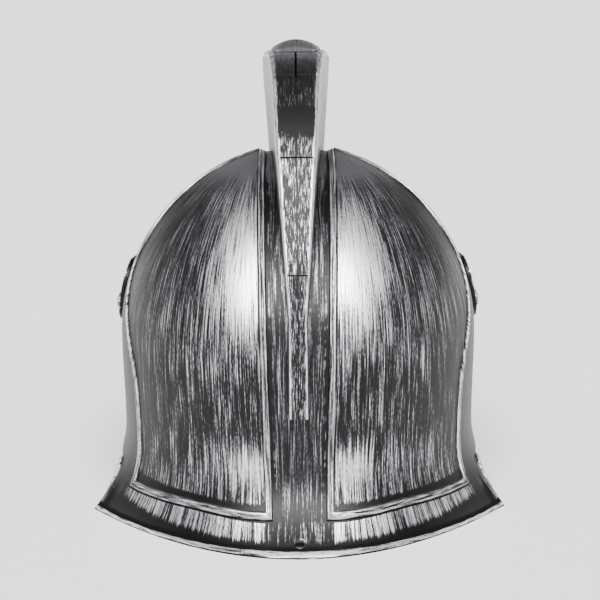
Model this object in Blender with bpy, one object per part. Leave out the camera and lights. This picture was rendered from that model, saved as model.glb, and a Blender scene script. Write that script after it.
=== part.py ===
"""Gladiator helmet of moulded plastic, worn over the whole head.

Metres, +Z up. The helmet faces -Y and rests on z = 0 on the rim of its neck guard and on its
cheek tips. The wearer's left is +X. Azimuths are in degrees, from the nape (0) to the face (180).
"""

import math
from collections import namedtuple

import bmesh
import bpy
from mathutils import Matrix, Vector

# Bowl, as its plain outer skin without the raised panels
BOWL_HALF_WIDTH = 0.1035
BOWL_HALF_LENGTH = 0.124
EQUATOR_HEIGHT = 0.096
DOME_RISE = 0.105
WALL = 0.002
WAIST_HEIGHT = 0.044
WAIST_HALF_WIDTH = 0.1025
WAIST_HALF_LENGTH = 0.116
RIM_HALF_WIDTH = 0.1225
RIM_HALF_LENGTH = 0.1433
RIM_BEND_RADIUS = 0.0745
FLARE_POWER = 2.2

# Neck guard, sides and face opening of the bowl
GUARD_AZIMUTH_RIM = 70.5
GUARD_AZIMUTH_ROOT = 76.5
GUARD_ROOT_HEIGHT = 0.027
SIDE_EDGE_HEIGHT = 0.036
TEMPLE_AZIMUTH = 112.0
BROW_HEIGHT = 0.118
RIM_BAND_HEIGHT = 0.0023
RIM_RISE = 0.0014
HOLE_DIAMETER = 0.0053
HOLE_HEIGHT = 0.0054

# Raised side panels and the plain band between them
BAND_HALF_WIDTH_TOP = 0.0176
BAND_HALF_WIDTH_RIM = 0.0138
BAND_WIDENING = 0.9  # share of the dome's rise where the band reaches its full width
BEAD_WIDTH = 0.004
BEAD_RISE = 0.0012
PANEL_RISE = 0.0012
PANEL_AZIMUTH_LOW = 55.5
PANEL_AZIMUTH_HIGH = 72.0
PANEL_STEP_LOW = 0.072
PANEL_STEP_HIGH = 0.148
BORDER_HEIGHT = 0.0168
BORDER_SIDE_LIFT = 0.003
BORDER_LIFT_AZIMUTH = 30.0
PANEL_END_ANGLE = 87.0  # where the panels stop short of the bowl's top

# Face plate
VISOR_WALL = 0.0018
VISOR_CLEARANCE = 0.0009
VISOR_TOP_HEIGHT = 0.134
VISOR_KEEL = 0.006
VISOR_CHEEK_TAPER = 0.06
TAB_AZIMUTH = 90.0
CHEEK_AZIMUTH = 102.0
TAB_LOW_HEIGHT = 0.099
TAB_ROUNDING = 5.0
CHEEK_REAR_LIFT = 0.034
BROW_RISE = 0.0035
BROW_FADE = 30.0
LIP_RISE = 0.0014
NASAL_HALF_WIDTH = 0.0085
NASAL_LOW_SHARE = 0.7
NASAL_HIGH_SHARE = 1.1
SLOT_HALF_WIDTH = 0.016
NASAL_TIP_HEIGHT = 0.058
EYE_LOW_HEIGHT = 0.084
EYE_HIGH_HEIGHT = 0.104
EYE_CORNER_HEIGHT = 0.095
EYE_CORNER_AZIMUTH = 152.0

# Crest
CREST_HEIGHT = 0.058
CREST_WIDTH = 0.042
CREST_WALL = 0.0018
CREST_ROUNDING = 0.085  # rounding of the ridge's edges, as a share of its width there
CREST_REAR_ANGLE = -14.0
CREST_FRONT_ANGLE = 156.0
CREST_STEP_ANGLE = 4.6
GROOVE_WIDTH = 0.0016
GROOVE_DEPTH = 0.0009
CAP_REAR_ANGLE = 84.0
CAP_FRONT_ANGLE = 146.0
CAP_CROWN = 0.006
CAP_EDGE = 0.0012
CAP_MARGIN = 0.0012
# Share of its full crown that the cap has at each end, and the run in degrees over which it grows
CAP_REAR_SHARE = 0.55
CAP_REAR_RUN = 18.0
CAP_FRONT_SHARE = 0.15
CAP_FRONT_RUN = 24.0

# Temple rosettes
ROSETTE_HEIGHT = 0.110
ROSETTE_RADIUS = 0.005
ROSETTE_RISE = 0.0024
ROSETTE_INSET = 0.007
STEM_RADIUS = 0.0018
TAIL_RADIUS = 0.0042
TAIL_THICKNESS = 0.0012
TAIL_CLEARANCE = 0.0006
STEM_CLEARANCE = 0.0005
DRILL_LENGTH = 0.024

# Gap that pieces keep to each other
GAP = 0.0003

# Steps of the faceted skins, as counts or as shares of the stretch that they divide
SIDES = 12
SIDE_STEPS = 3
BROW_STEPS = 6
DOME_STEPS = 10
PANEL_SHARES = (0.17, 0.34, 0.51, 0.68, 0.85)
SIDE_ROW_SHARES = (0.2, 0.43, 0.7, 1.0)
EYE_SHARES = (0.25, 0.5, 0.75, 1.0)
CHEEK_SHARES = (0.2, 0.4, 0.6, 0.8, 1.0)
TAB_SHARES = (0.5, 1.0)
MOUTH_ROW_SHARES = (0.0, 0.08, 0.35, 0.7, 1.0)
NOSE_ROW_SHARES = (0.5, 0.9, 1.0)
BROW_ROW_SHARES = (0.15, 0.4, 0.62, 0.9, 1.0)
CHEEK_SPREAD = 0.55
CAP_SHARES = (-1.0, -0.72, -0.38, 0.0, 0.38, 0.72, 1.0)
SHOULDER_SHARE = 0.3
# Radius and rise of the rosette's dome, as shares of its own
ROSETTE_DOME = ((0.0, 1.0), (0.45, 0.88), (0.82, 0.5), (1.0, 0.0))
TINY = 1e-7
SLOPE_STEP = 5e-5
LEAST_UPRIGHT = 0.5
FULL_TURN = 2 * math.pi

CrestStation = namedtuple("CrestStation", "angle height ridge base")
# Angles in degrees round the bowl's middle; the rest are shares of CREST_HEIGHT and CREST_WIDTH
CREST_TABLE = [
    CrestStation(-14, 0.085, 0.235, 0.265),
    CrestStation(14, 0.15, 0.22, 0.255),
    CrestStation(20, 0.175, 0.26, 0.29),
    CrestStation(42, 0.38, 0.42, 0.43),
    CrestStation(57, 0.64, 0.54, 0.52),
    CrestStation(72, 0.92, 0.63, 0.60),
    CrestStation(84, 1.0, 0.73, 0.68),
    CrestStation(100, 1.0, 0.95, 0.76),
    CrestStation(116, 0.97, 0.96, 0.78),
    CrestStation(132, 0.88, 0.85, 0.75),
    CrestStation(144, 0.70, 0.80, 0.71),
    CrestStation(151, 0.44, 0.76, 0.67),
    CrestStation(156, 0.085, 0.70, 0.64),
]
Groove = namedtuple("Groove", "angle depth")
# Depths are shares of GROOVE_DEPTH
GROOVES = [Groove(25, 0.5), Groove(52, 0.5), Groove(72, 1.0), Groove(82.5, 1.0)]
SEAM_GROOVE = (72.0, 82.5)

# A column gives its place at a height, as a distance across the band or an azimuth
Column = namedtuple("Column", "place raised")
RaisedRow = namedtuple("RaisedRow", "kind height")

# Black plastic brushed with silver: the mean colour of paint and bare plastic together
Look = namedtuple("Look", "colour metallic roughness")
BRUSHED_BOWL = Look((0.10, 0.10, 0.105), 0.3, 0.45)
BRUSHED_CREST = Look((0.13, 0.13, 0.135), 0.3, 0.42)
GREY_CAP = Look((0.18, 0.18, 0.185), 0.3, 0.4)
SILVER_ROSETTE = Look((0.3, 0.3, 0.3), 0.5, 0.35)


def blend(low, high, share):
    """A smooth change from low to high as share goes from 0 to 1."""
    share = min(max(share, 0.0), 1.0)
    return low + (high - low) * (1 - math.cos(math.pi * share)) / 2


def band_half_width(height):
    share = min(height / (EQUATOR_HEIGHT + BAND_WIDENING * DOME_RISE), 1.0)
    return BAND_HALF_WIDTH_RIM + (BAND_HALF_WIDTH_TOP - BAND_HALF_WIDTH_RIM) * share


def fan_start(height):
    """Distance from the middle plane to the inner side of the bead beside the band."""
    return band_half_width(height) + BEAD_WIDTH


def pole_height():
    """Height where the bowl's outline is no wider than the band and its beads."""
    share = (BAND_HALF_WIDTH_TOP + BEAD_WIDTH) / BOWL_HALF_WIDTH
    return EQUATOR_HEIGHT + DOME_RISE * math.sqrt(1 - share * share)


POLE_HEIGHT = pole_height()


def bowl_radii(height):
    """Half width and half length of the bowl's outer skin at a height."""
    if height >= EQUATOR_HEIGHT:
        rise = height - EQUATOR_HEIGHT
        across = math.sqrt(max(1 - (rise / DOME_RISE) ** 2, 0))
        along = math.sqrt(max(1 - (rise / (POLE_HEIGHT - EQUATOR_HEIGHT)) ** 2, 0))
        return BOWL_HALF_WIDTH * across, BOWL_HALF_LENGTH * along
    if height >= WAIST_HEIGHT:
        share = (EQUATOR_HEIGHT - height) / (EQUATOR_HEIGHT - WAIST_HEIGHT)
        half_width = blend(BOWL_HALF_WIDTH, WAIST_HALF_WIDTH, share)
        return half_width, blend(BOWL_HALF_LENGTH, WAIST_HALF_LENGTH, share)
    flare = (1 - height / WAIST_HEIGHT) ** FLARE_POWER
    half_width = WAIST_HALF_WIDTH + (RIM_HALF_WIDTH - WAIST_HALF_WIDTH) * flare
    return half_width, WAIST_HALF_LENGTH + (RIM_HALF_LENGTH - WAIST_HALF_LENGTH) * flare


def visor_radii(height):
    """Half width and half length of the face plate's skin: the bowl's, drawn in to the chin."""
    half_width, half_length = bowl_radii(max(height, SIDE_EDGE_HEIGHT))
    taper = 1 - VISOR_CHEEK_TAPER * max(1 - height / SIDE_EDGE_HEIGHT, 0) ** 2
    return half_width * taper, half_length * taper


def guard_bend(across, azimuth, height):
    """How far the flare draws back from an oval: seen from above, its rim bends evenly round the nape."""
    if height >= WAIST_HEIGHT or azimuth > CHEEK_AZIMUTH:
        return 0.0
    flare = (1 - height / WAIST_HEIGHT) ** FLARE_POWER
    bent = RIM_HALF_LENGTH - across * across / (2 * RIM_BEND_RADIUS)
    oval = RIM_HALF_LENGTH * math.cos(math.radians(azimuth))
    fade = blend(1.0, 0.0, (azimuth - GUARD_AZIMUTH_RIM) / (CHEEK_AZIMUTH - GUARD_AZIMUTH_RIM))
    return (bent - oval) * flare * fade


def skin_spot(radii, across, azimuth, height):
    """Point of a skin: on the band by its distance across, else by azimuth."""
    half_width, half_length = radii(height)
    if across is not None:
        side = 1 if azimuth < 90 else -1
        return Vector((across, side * half_length + guard_bend(across, azimuth, height), height))
    turn = math.radians(azimuth)
    start = fan_start(height)
    reach = start + max(half_width - start, 0) * math.sin(turn)
    return Vector((reach, half_length * math.cos(turn) + guard_bend(reach, azimuth, height), height))


def skin_point(radii, across, azimuth, height):
    """Point of a skin with its outward direction and its level direction."""
    point = skin_spot(radii, across, azimuth, height)
    if across is not None:
        side = 1 if azimuth < 90 else -1
        along = skin_spot(radii, across + SLOPE_STEP, azimuth, height)
        along -= skin_spot(radii, across - SLOPE_STEP, azimuth, height)
        level = Vector((-along.y, side * along.x, 0)).normalized()
    else:
        turn = math.degrees(SLOPE_STEP / BOWL_HALF_WIDTH)
        ahead = skin_spot(radii, None, azimuth + turn, height)
        along = ahead - skin_spot(radii, None, azimuth - turn, height)
        level = Vector((-along.y, along.x, 0))
        level = level.normalized() if level.length > TINY else Vector((0, 0, 0))
    if height > POLE_HEIGHT - 2 * SLOPE_STEP:
        return point, Vector((0, 0, 1)), level
    above = skin_spot(radii, across, azimuth, height + SLOPE_STEP)
    below = skin_spot(radii, across, azimuth, max(height - SLOPE_STEP, 0))
    outward = (above - below).dot(level) / (above.z - below.z)
    return point, Vector((level.x, level.y, -outward)).normalized(), level


def raise_point(placed, rise, on_floor):
    """A skin point moved outward, or sideways only if it stands on the floor."""
    point, normal, level = placed
    if not on_floor:
        return point + normal * rise
    upright = max(normal.x * level.x + normal.y * level.y, LEAST_UPRIGHT)
    return point + level * rise / upright


def shell_mesh(name, columns, rows, place, kept):
    """Closes a wall round half a grid and its mirror image.

    place(column, row) gives a skin point, how far the outer and inner face lie from it, and
    whether it stands on the floor. kept(column, row) says which cells of the grid exist.
    """
    mesh = bmesh.new()
    found = {}

    def vertex(position):
        key = tuple(round(value, 6) for value in position)
        if key not in found:
            found[key] = mesh.verts.new(position)
        return found[key]

    def face(corners):
        ring = [corner for spot, corner in enumerate(corners) if corner is not corners[spot - 1]]
        if len(ring) > 2:
            mesh.faces.new(ring)

    for side in (1, -1):
        outer, inner, uses = {}, {}, {}
        for column in range(columns):
            for row in range(rows):
                placed, outside, inside, on_floor = place(column, row)
                for skin, distance in ((outer, outside), (inner, inside)):
                    spot = raise_point(placed, distance, on_floor)
                    skin[column, row] = vertex(Vector((side * spot.x, spot.y, spot.z)))
        for column in range(columns - 1):
            for row in range(rows - 1):
                if not kept(column, row):
                    continue
                ring = [(column, row), (column + 1, row), (column + 1, row + 1), (column, row + 1)]
                face([outer[spot] for spot in ring])
                face([inner[spot] for spot in ring])
                for first, last in zip(ring, ring[1:] + ring[:1]):
                    uses.setdefault(frozenset((outer[first], outer[last])), []).append((first, last))
        for pair, found_edges in uses.items():
            on_middle = all(abs(corner.co.x) < TINY for corner in pair)
            if len(pair) == 2 and len(found_edges) == 1 and not on_middle:
                first, last = found_edges[0]
                face([outer[first], outer[last], inner[last], inner[first]])
    loose = [corner for corner in mesh.verts if not corner.link_faces]
    bmesh.ops.delete(mesh, geom=loose, context="VERTS")
    bmesh.ops.recalc_face_normals(mesh, faces=mesh.faces)
    return finish(name, mesh)


def finish(name, mesh, smooth_angle=35.0):
    data = bpy.data.meshes.new(name)
    mesh.to_mesh(data)
    mesh.free()
    data.shade_smooth()
    data.set_sharp_from_angle(angle=math.radians(smooth_angle))
    piece = bpy.data.objects.new(name, data)
    bpy.context.scene.collection.objects.link(piece)
    return piece


def panel_azimuth(height):
    """Azimuth of the panel's outer border: it steps forward at the equator."""
    share = (height - PANEL_STEP_LOW) / (PANEL_STEP_HIGH - PANEL_STEP_LOW)
    return blend(PANEL_AZIMUTH_LOW, PANEL_AZIMUTH_HIGH, share)


def guard_azimuth(height):
    """Azimuth of the neck guard's free edge, and above it of the line that carries on from its root."""
    if height < GUARD_ROOT_HEIGHT:
        share = 1 - height / GUARD_ROOT_HEIGHT
        return GUARD_AZIMUTH_ROOT + (GUARD_AZIMUTH_RIM - GUARD_AZIMUTH_ROOT) * share
    share = (height - PANEL_STEP_LOW) / (PANEL_STEP_HIGH - PANEL_STEP_LOW)
    return blend(GUARD_AZIMUTH_ROOT, (PANEL_AZIMUTH_HIGH + TEMPLE_AZIMUTH) / 2, share)


def side_edge_height(azimuth):
    """Height of the bowl's lower edge, which climbs from the neck guard's root to the cheek."""
    share = (azimuth - GUARD_AZIMUTH_ROOT) / (CHEEK_AZIMUTH - GUARD_AZIMUTH_ROOT)
    return blend(GUARD_ROOT_HEIGHT, SIDE_EDGE_HEIGHT, share)


def side_azimuth(height, share):
    """Azimuth between the line of the neck guard's free edge and the bowl's edge at the temple."""
    return guard_azimuth(height) + (TEMPLE_AZIMUTH - guard_azimuth(height)) * share


def bead_turn(height):
    """Half a bead's width as an angle, on the side of the bowl."""
    return math.degrees(BEAD_WIDTH / 2 / max(bowl_radii(height)[0], BEAD_WIDTH))


def bowl_columns():
    """Columns of half the bowl, nape to brow: where each lies at a height, and what the panel does there."""
    columns = [
        Column(lambda height: (0.0, 0.0), "plain"),
        Column(lambda height: (band_half_width(height), 0.0), "plain"),
        Column(lambda height: (band_half_width(height) + BEAD_WIDTH / 2, 0.0), "bead"),
        Column(lambda height: (None, 0.0), "panel"),
    ]
    for share in PANEL_SHARES:
        columns.append(Column(lambda height, share=share: (None, share * panel_azimuth(height)), "panel"))
    columns += [
        Column(lambda height: (None, panel_azimuth(height) - bead_turn(height)), "panel"),
        Column(lambda height: (None, panel_azimuth(height)), "bead"),
        Column(lambda height: (None, panel_azimuth(height) + bead_turn(height)), "plain"),
        Column(lambda height: (None, guard_azimuth(height) - bead_turn(height)), "foot"),
        Column(lambda height: (None, guard_azimuth(height)), "edge"),
    ]
    for step in range(1, SIDE_STEPS + 1):
        share = step / SIDE_STEPS
        columns.append(Column(lambda height, share=share: (None, side_azimuth(height, share)), "plain"))
    for step in range(1, BROW_STEPS + 1):
        azimuth = TEMPLE_AZIMUTH + (180 - TEMPLE_AZIMUTH) * step / BROW_STEPS
        columns.append(Column(lambda height, azimuth=azimuth: (None, azimuth), "plain"))
    columns += [
        Column(lambda height: (band_half_width(height) + BEAD_WIDTH / 2, 180.0), "plain"),
        Column(lambda height: (band_half_width(height), 180.0), "plain"),
        Column(lambda height: (0.0, 180.0), "plain"),
    ]
    return columns


def bowl_rows():
    """Rows of the bowl from the rim to the top, with what the panel does at each."""
    rows = [
        RaisedRow("rim", 0.0),
        RaisedRow("rim", RIM_BAND_HEIGHT),
        RaisedRow("plain", RIM_BAND_HEIGHT + RIM_RISE / 2),
        RaisedRow("plain", BORDER_HEIGHT - BEAD_WIDTH / 2),
        RaisedRow("bead", BORDER_HEIGHT),
        RaisedRow("panel", BORDER_HEIGHT + BEAD_WIDTH / 2),
        RaisedRow("panel", (BORDER_HEIGHT + GUARD_ROOT_HEIGHT) / 2 + BORDER_SIDE_LIFT),
        RaisedRow("side edge", GUARD_ROOT_HEIGHT),
    ]
    for share in SIDE_ROW_SHARES:
        rows.append(RaisedRow("panel", SIDE_EDGE_HEIGHT + (EQUATOR_HEIGHT - SIDE_EDGE_HEIGHT) * share))
    rows.append(RaisedRow("panel", (EQUATOR_HEIGHT + BROW_HEIGHT) / 2))
    rise = POLE_HEIGHT - EQUATOR_HEIGHT
    brow_angle = math.asin((BROW_HEIGHT - EQUATOR_HEIGHT) / rise)
    for step in range(DOME_STEPS):
        angle = brow_angle + (math.pi / 2 - brow_angle) * step / DOME_STEPS
        rows.append(RaisedRow("panel", EQUATOR_HEIGHT + rise * math.sin(angle)))
    rows.append(RaisedRow("panel", EQUATOR_HEIGHT + rise * math.sin(math.radians(PANEL_END_ANGLE))))
    rows.append(RaisedRow("plain", POLE_HEIGHT))
    return rows


def panel_rise(column, row):
    """How far the panel, its bead, the rim band or the free edge's bead stands off the plain skin."""
    if row.kind == "rim":
        return RIM_RISE
    if column.raised == "edge" and row.height < GUARD_ROOT_HEIGHT:
        return BEAD_RISE
    if "plain" in (column.raised, row.kind) or column.raised in ("edge", "foot"):
        return 0.0
    return PANEL_RISE + (BEAD_RISE if "bead" in (column.raised, row.kind) else 0.0)


def skull_shell():
    columns, rows = bowl_columns(), bowl_rows()
    border_rows = [place for place, row in enumerate(rows) if row.kind == "bead"]
    edge_column = [column.raised for column in columns].index("edge")
    temple_column = edge_column + SIDE_STEPS

    def place(column, row):
        height = rows[row].height
        across, azimuth = columns[column].place(height)
        if abs(row - border_rows[0]) < 2:
            height += blend(0.0, BORDER_SIDE_LIFT, azimuth / BORDER_LIFT_AZIMUTH)
            across, azimuth = columns[column].place(height)
        if rows[row].kind == "side edge":
            height = side_edge_height(azimuth)
            across, azimuth = columns[column].place(height)
        placed = skin_point(bowl_radii, across, azimuth, height)
        return placed, panel_rise(columns[column], rows[row]), -WALL, row == 0

    def kept(column, row):
        if rows[row].height < GUARD_ROOT_HEIGHT - TINY:
            return column < edge_column
        return column < temple_column or rows[row].height > BROW_HEIGHT - TINY

    shell = shell_mesh("skull_shell", len(columns), len(rows), place, kept)
    rim = skin_point(bowl_radii, 0.0, 0.0, HOLE_HEIGHT)
    cut(shell, drill("rim_hole_cutter", HOLE_DIAMETER / 2, rim[0], rim[1]))
    return shell


def nasal_half_width(height):
    return NASAL_HALF_WIDTH * blend(NASAL_LOW_SHARE, NASAL_HIGH_SHARE, height / EYE_HIGH_HEIGHT)


def tab_azimuth(height, share):
    """Azimuth between the cheek's rear edge and the tab's rounded end."""
    return CHEEK_AZIMUTH + (TAB_AZIMUTH - CHEEK_AZIMUTH) * share + share * tab_turn(height)


def visor_columns():
    """Columns of the face plate's half from its middle to its tab: across or azimuth at a height."""
    columns = [
        lambda height: (0.0, 180.0),
        lambda height: (nasal_half_width(height), 180.0),
        lambda height: (SLOT_HALF_WIDTH, 180.0),
        lambda height: (None, 180.0),
    ]
    for share in EYE_SHARES:
        azimuth = 180 + (EYE_CORNER_AZIMUTH - 180) * share
        columns.append(lambda height, azimuth=azimuth: (None, azimuth))
    for share in CHEEK_SHARES:
        azimuth = EYE_CORNER_AZIMUTH + (CHEEK_AZIMUTH - EYE_CORNER_AZIMUTH) * share
        columns.append(lambda height, azimuth=azimuth: (None, azimuth))
    for share in TAB_SHARES:
        columns.append(lambda height, share=share: (None, tab_azimuth(height, share)))
    return columns


def tab_turn(height):
    """How far the tab's rounded end draws forward at a height, in degrees."""
    off_middle = 2 * (height - TAB_LOW_HEIGHT) / (VISOR_TOP_HEIGHT - TAB_LOW_HEIGHT) - 1
    return TAB_ROUNDING * min(off_middle * off_middle, 1.0) ** 2


EYE_COLUMN = 7
CHEEK_COLUMN = 12
SLOT_COLUMN = 2
NASAL_COLUMN = 1


def visor_row_heights(column, azimuth):
    """Heights of the face plate's rows in one column, from the chin up."""
    forward = (180 - azimuth) / (180 - EYE_CORNER_AZIMUTH)
    rearward = (EYE_CORNER_AZIMUTH - azimuth) / (EYE_CORNER_AZIMUTH - CHEEK_AZIMUTH)
    low = CHEEK_REAR_LIFT * min(max(rearward, 0.0), 1.0) ** 2
    near = blend(1.0, 0.0, forward * forward) if azimuth > EYE_CORNER_AZIMUTH else 0.0
    spread = blend(0.0, CHEEK_SPREAD, rearward) if azimuth < EYE_CORNER_AZIMUTH else 0.0
    opening = max(near, spread)
    eye_low = EYE_CORNER_HEIGHT + (EYE_LOW_HEIGHT - EYE_CORNER_HEIGHT) * opening - GROOVE_WIDTH
    eye_high = EYE_CORNER_HEIGHT + (EYE_HIGH_HEIGHT - EYE_CORNER_HEIGHT) * opening + GROOVE_WIDTH
    if column >= CHEEK_COLUMN:
        eye_high = TAB_LOW_HEIGHT
        eye_low = min(eye_low, TAB_LOW_HEIGHT - 2 * GROOVE_WIDTH)
    nasal_tip = max(NASAL_TIP_HEIGHT, low + 4 * GROOVE_WIDTH)
    heights = [low + (nasal_tip - low) * share for share in MOUTH_ROW_SHARES]
    heights += [nasal_tip + (eye_low - nasal_tip) * share for share in NOSE_ROW_SHARES]
    heights += [(eye_low + eye_high) / 2, eye_high]
    top = VISOR_TOP_HEIGHT
    heights += [eye_high + (top - eye_high) * share for share in BROW_ROW_SHARES]
    return heights


NASAL_TIP_ROW = 4
EYE_LOW_ROW = 7
EYE_HIGH_ROW = 9
BROW_ROW = 12
VISOR_ROWS = 15


def visor_kept(column, row):
    if column >= CHEEK_COLUMN:
        return row >= EYE_HIGH_ROW
    if NASAL_COLUMN <= column < EYE_COLUMN and EYE_LOW_ROW <= row < EYE_HIGH_ROW:
        return False
    if column < SLOT_COLUMN and row < NASAL_TIP_ROW:
        return False
    return not (column == NASAL_COLUMN and row < EYE_LOW_ROW)


def visor_lip(column, row):
    """Whether a corner of the grid lies on the edge of the face opening."""
    cells = [(column - back, row - down) for back in (0, 1) for down in (0, 1)]
    cells = [cell for cell in cells if 0 <= cell[0] < CHEEK_COLUMN and 0 <= cell[1] < VISOR_ROWS - 1]
    return len({visor_kept(*cell) for cell in cells}) == 2


def visor():
    columns = visor_columns()

    def place(column, row):
        across, azimuth = columns[column](EYE_HIGH_HEIGHT)
        height = visor_row_heights(column, azimuth)[row]
        across, azimuth = columns[column](height)
        placed = skin_point(visor_radii, across, azimuth, height)
        distance = placed[0].x
        keel = VISOR_KEEL * blend(1.0, 0.0, distance / (3 * SLOT_HALF_WIDTH))
        brow = blend(0.0, BROW_RISE, (azimuth - CHEEK_AZIMUTH) / BROW_FADE) if row == BROW_ROW else 0.0
        lip = LIP_RISE if visor_lip(column, row) else 0.0
        rise = VISOR_CLEARANCE + VISOR_WALL + keel + max(brow, lip)
        return placed, rise, VISOR_CLEARANCE + keel, height < TINY

    return shell_mesh("visor", len(columns), VISOR_ROWS, place, visor_kept)


def profile_point(angle):
    """Point of the band's skin in the middle plane, and its outward direction, at an angle."""
    height = EQUATOR_HEIGHT + (POLE_HEIGHT - EQUATOR_HEIGHT) * math.sin(math.radians(angle))
    placed = skin_point(bowl_radii, 0.0, 0.0 if angle < 90 else 180.0, height)
    return placed[0], placed[1]


def crest_size(angle):
    """Height, ridge width and base width of the crest at an angle, between the rows of its table."""
    last = CREST_TABLE[0]
    for station in CREST_TABLE:
        if angle <= station.angle:
            run = station.angle - last.angle
            share = (angle - last.angle) / run if run else 0.0
            sizes = [low + (high - low) * share for low, high in zip(last[1:], station[1:])]
            return CREST_HEIGHT * sizes[0], CREST_WIDTH * sizes[1], CREST_WIDTH * sizes[2]
        last = station
    return CREST_HEIGHT * last.height, CREST_WIDTH * last.ridge, CREST_WIDTH * last.base


def crest_angles():
    """Stations along the crest, with three at each groove."""
    span = CREST_FRONT_ANGLE - CREST_REAR_ANGLE
    count = round(span / CREST_STEP_ANGLE)
    angles = [CREST_REAR_ANGLE + span * step / count for step in range(count + 1)]
    half = math.degrees(GROOVE_WIDTH / 2 / (DOME_RISE + CREST_HEIGHT))
    for groove in GROOVES:
        angles = [angle for angle in angles if abs(angle - groove.angle) > 2 * half]
        angles += [groove.angle - half, groove.angle, groove.angle + half]
    return sorted(angles)


def ridge_frames(angles):
    """For each station its base point, its ridge point and the ridge's own outward direction."""
    bases, ridges = [], []
    for angle in angles:
        point, normal = profile_point(angle)
        bases.append(point + normal * GAP)
        ridges.append(point + normal * (GAP + crest_size(angle)[0]))
    frames = []
    for place, ridge in enumerate(ridges):
        before, after = ridges[max(place - 1, 0)], ridges[min(place + 1, len(ridges) - 1)]
        along = (after - before).normalized()
        frames.append((bases[place], ridge, Vector((0, along.z, -along.y))))
    return frames


def sweep(name, sections):
    """Joins a row of like rings into one closed solid."""
    mesh = bmesh.new()
    rings = [[mesh.verts.new(point) for point in section] for section in sections]
    for first, last in zip(rings, rings[1:]):
        for place, corner in enumerate(first):
            mesh.faces.new([first[place - 1], corner, last[place], last[place - 1]])
    mesh.faces.new(rings[0])
    mesh.faces.new(rings[-1])
    bmesh.ops.recalc_face_normals(mesh, faces=mesh.faces)
    return finish(name, mesh)


def crest_half(name, side):
    """One hollow moulding of the crest, from the seam in the middle plane out to its flank."""
    angles = crest_angles()
    depth_at = {groove.angle: groove.depth * GROOVE_DEPTH for groove in GROOVES}
    sections = []
    for angle, (base, ridge, out) in zip(angles, ridge_frames(angles)):
        height, ridge_width, base_width = crest_size(angle)
        round_off = CREST_ROUNDING * ridge_width
        top = ridge - out * depth_at.get(angle, 0.0)
        seam_dip = GROOVE_DEPTH if SEAM_GROOVE[0] <= angle <= SEAM_GROOVE[1] else 0.0
        half_ridge, half_base, seam = ridge_width / 2, base_width / 2, GAP / 2
        slant = (half_ridge - half_base) / height
        wall, shoulder = CREST_WALL, SHOULDER_SHARE * round_off
        inner_out = half_ridge - wall - slant * wall
        outline = [
            (seam, top - out * seam_dip),
            (seam + GROOVE_WIDTH / 2, top),
            (half_ridge - round_off, top),
            (half_ridge - shoulder, top - out * shoulder),
            (half_ridge, top - out * round_off),
            (half_base, base),
            (half_base - wall, base),
            (inner_out, ridge - out * (wall + GROOVE_DEPTH + round_off / 2)),
            (inner_out - round_off / 2, ridge - out * (wall + GROOVE_DEPTH)),
            (seam, ridge - out * (wall + GROOVE_DEPTH)),
        ]
        sections.append([Vector((side * across, point.y, point.z)) for across, point in outline])
    return sweep(name, sections)


def crest_cap():
    """Crowned strip glued along the ridge, from the last cross groove forward."""
    angles = [angle for angle in crest_angles() if CAP_REAR_ANGLE < angle < CAP_FRONT_ANGLE]
    sections = []
    for angle, (base, ridge, out) in zip(angles, ridge_frames(angles)):
        ridge_width = crest_size(angle)[1]
        half = ridge_width / 2 - CREST_ROUNDING * ridge_width - CAP_MARGIN
        rear = CAP_REAR_SHARE + (angle - CAP_REAR_ANGLE) / CAP_REAR_RUN
        front = CAP_FRONT_SHARE + (CAP_FRONT_ANGLE - angle) / CAP_FRONT_RUN
        fade = min(rear, front, 1.0)
        ring = [Vector((-half, *(ridge + out * GAP).yz)), Vector((half, *(ridge + out * GAP).yz))]
        for share in reversed(CAP_SHARES):
            rise = GAP + CAP_EDGE + (CAP_CROWN - CAP_EDGE) * fade * (1 - share * share)
            ring.append(Vector((half * share, *(ridge + out * rise).yz)))
        sections.append(ring)
    return sweep("crest_cap", sections)


def drill(name, radius, centre, direction):
    """A hidden round cutter through a wall."""
    mesh = bmesh.new()
    bmesh.ops.create_cone(
        mesh, cap_ends=True, segments=SIDES, radius1=radius, radius2=radius, depth=DRILL_LENGTH
    )
    turn = Vector(direction).to_track_quat("Z", "Y").to_matrix().to_4x4()
    bmesh.ops.transform(mesh, matrix=Matrix.Translation(centre) @ turn, verts=mesh.verts)
    cutter = finish(name, mesh)
    cutter.hide_render = True
    cutter.display_type = "WIRE"
    return cutter


def cut(piece, cutter):
    hole = piece.modifiers.new(cutter.name, "BOOLEAN")
    hole.operation = "DIFFERENCE"
    hole.object = cutter


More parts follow.
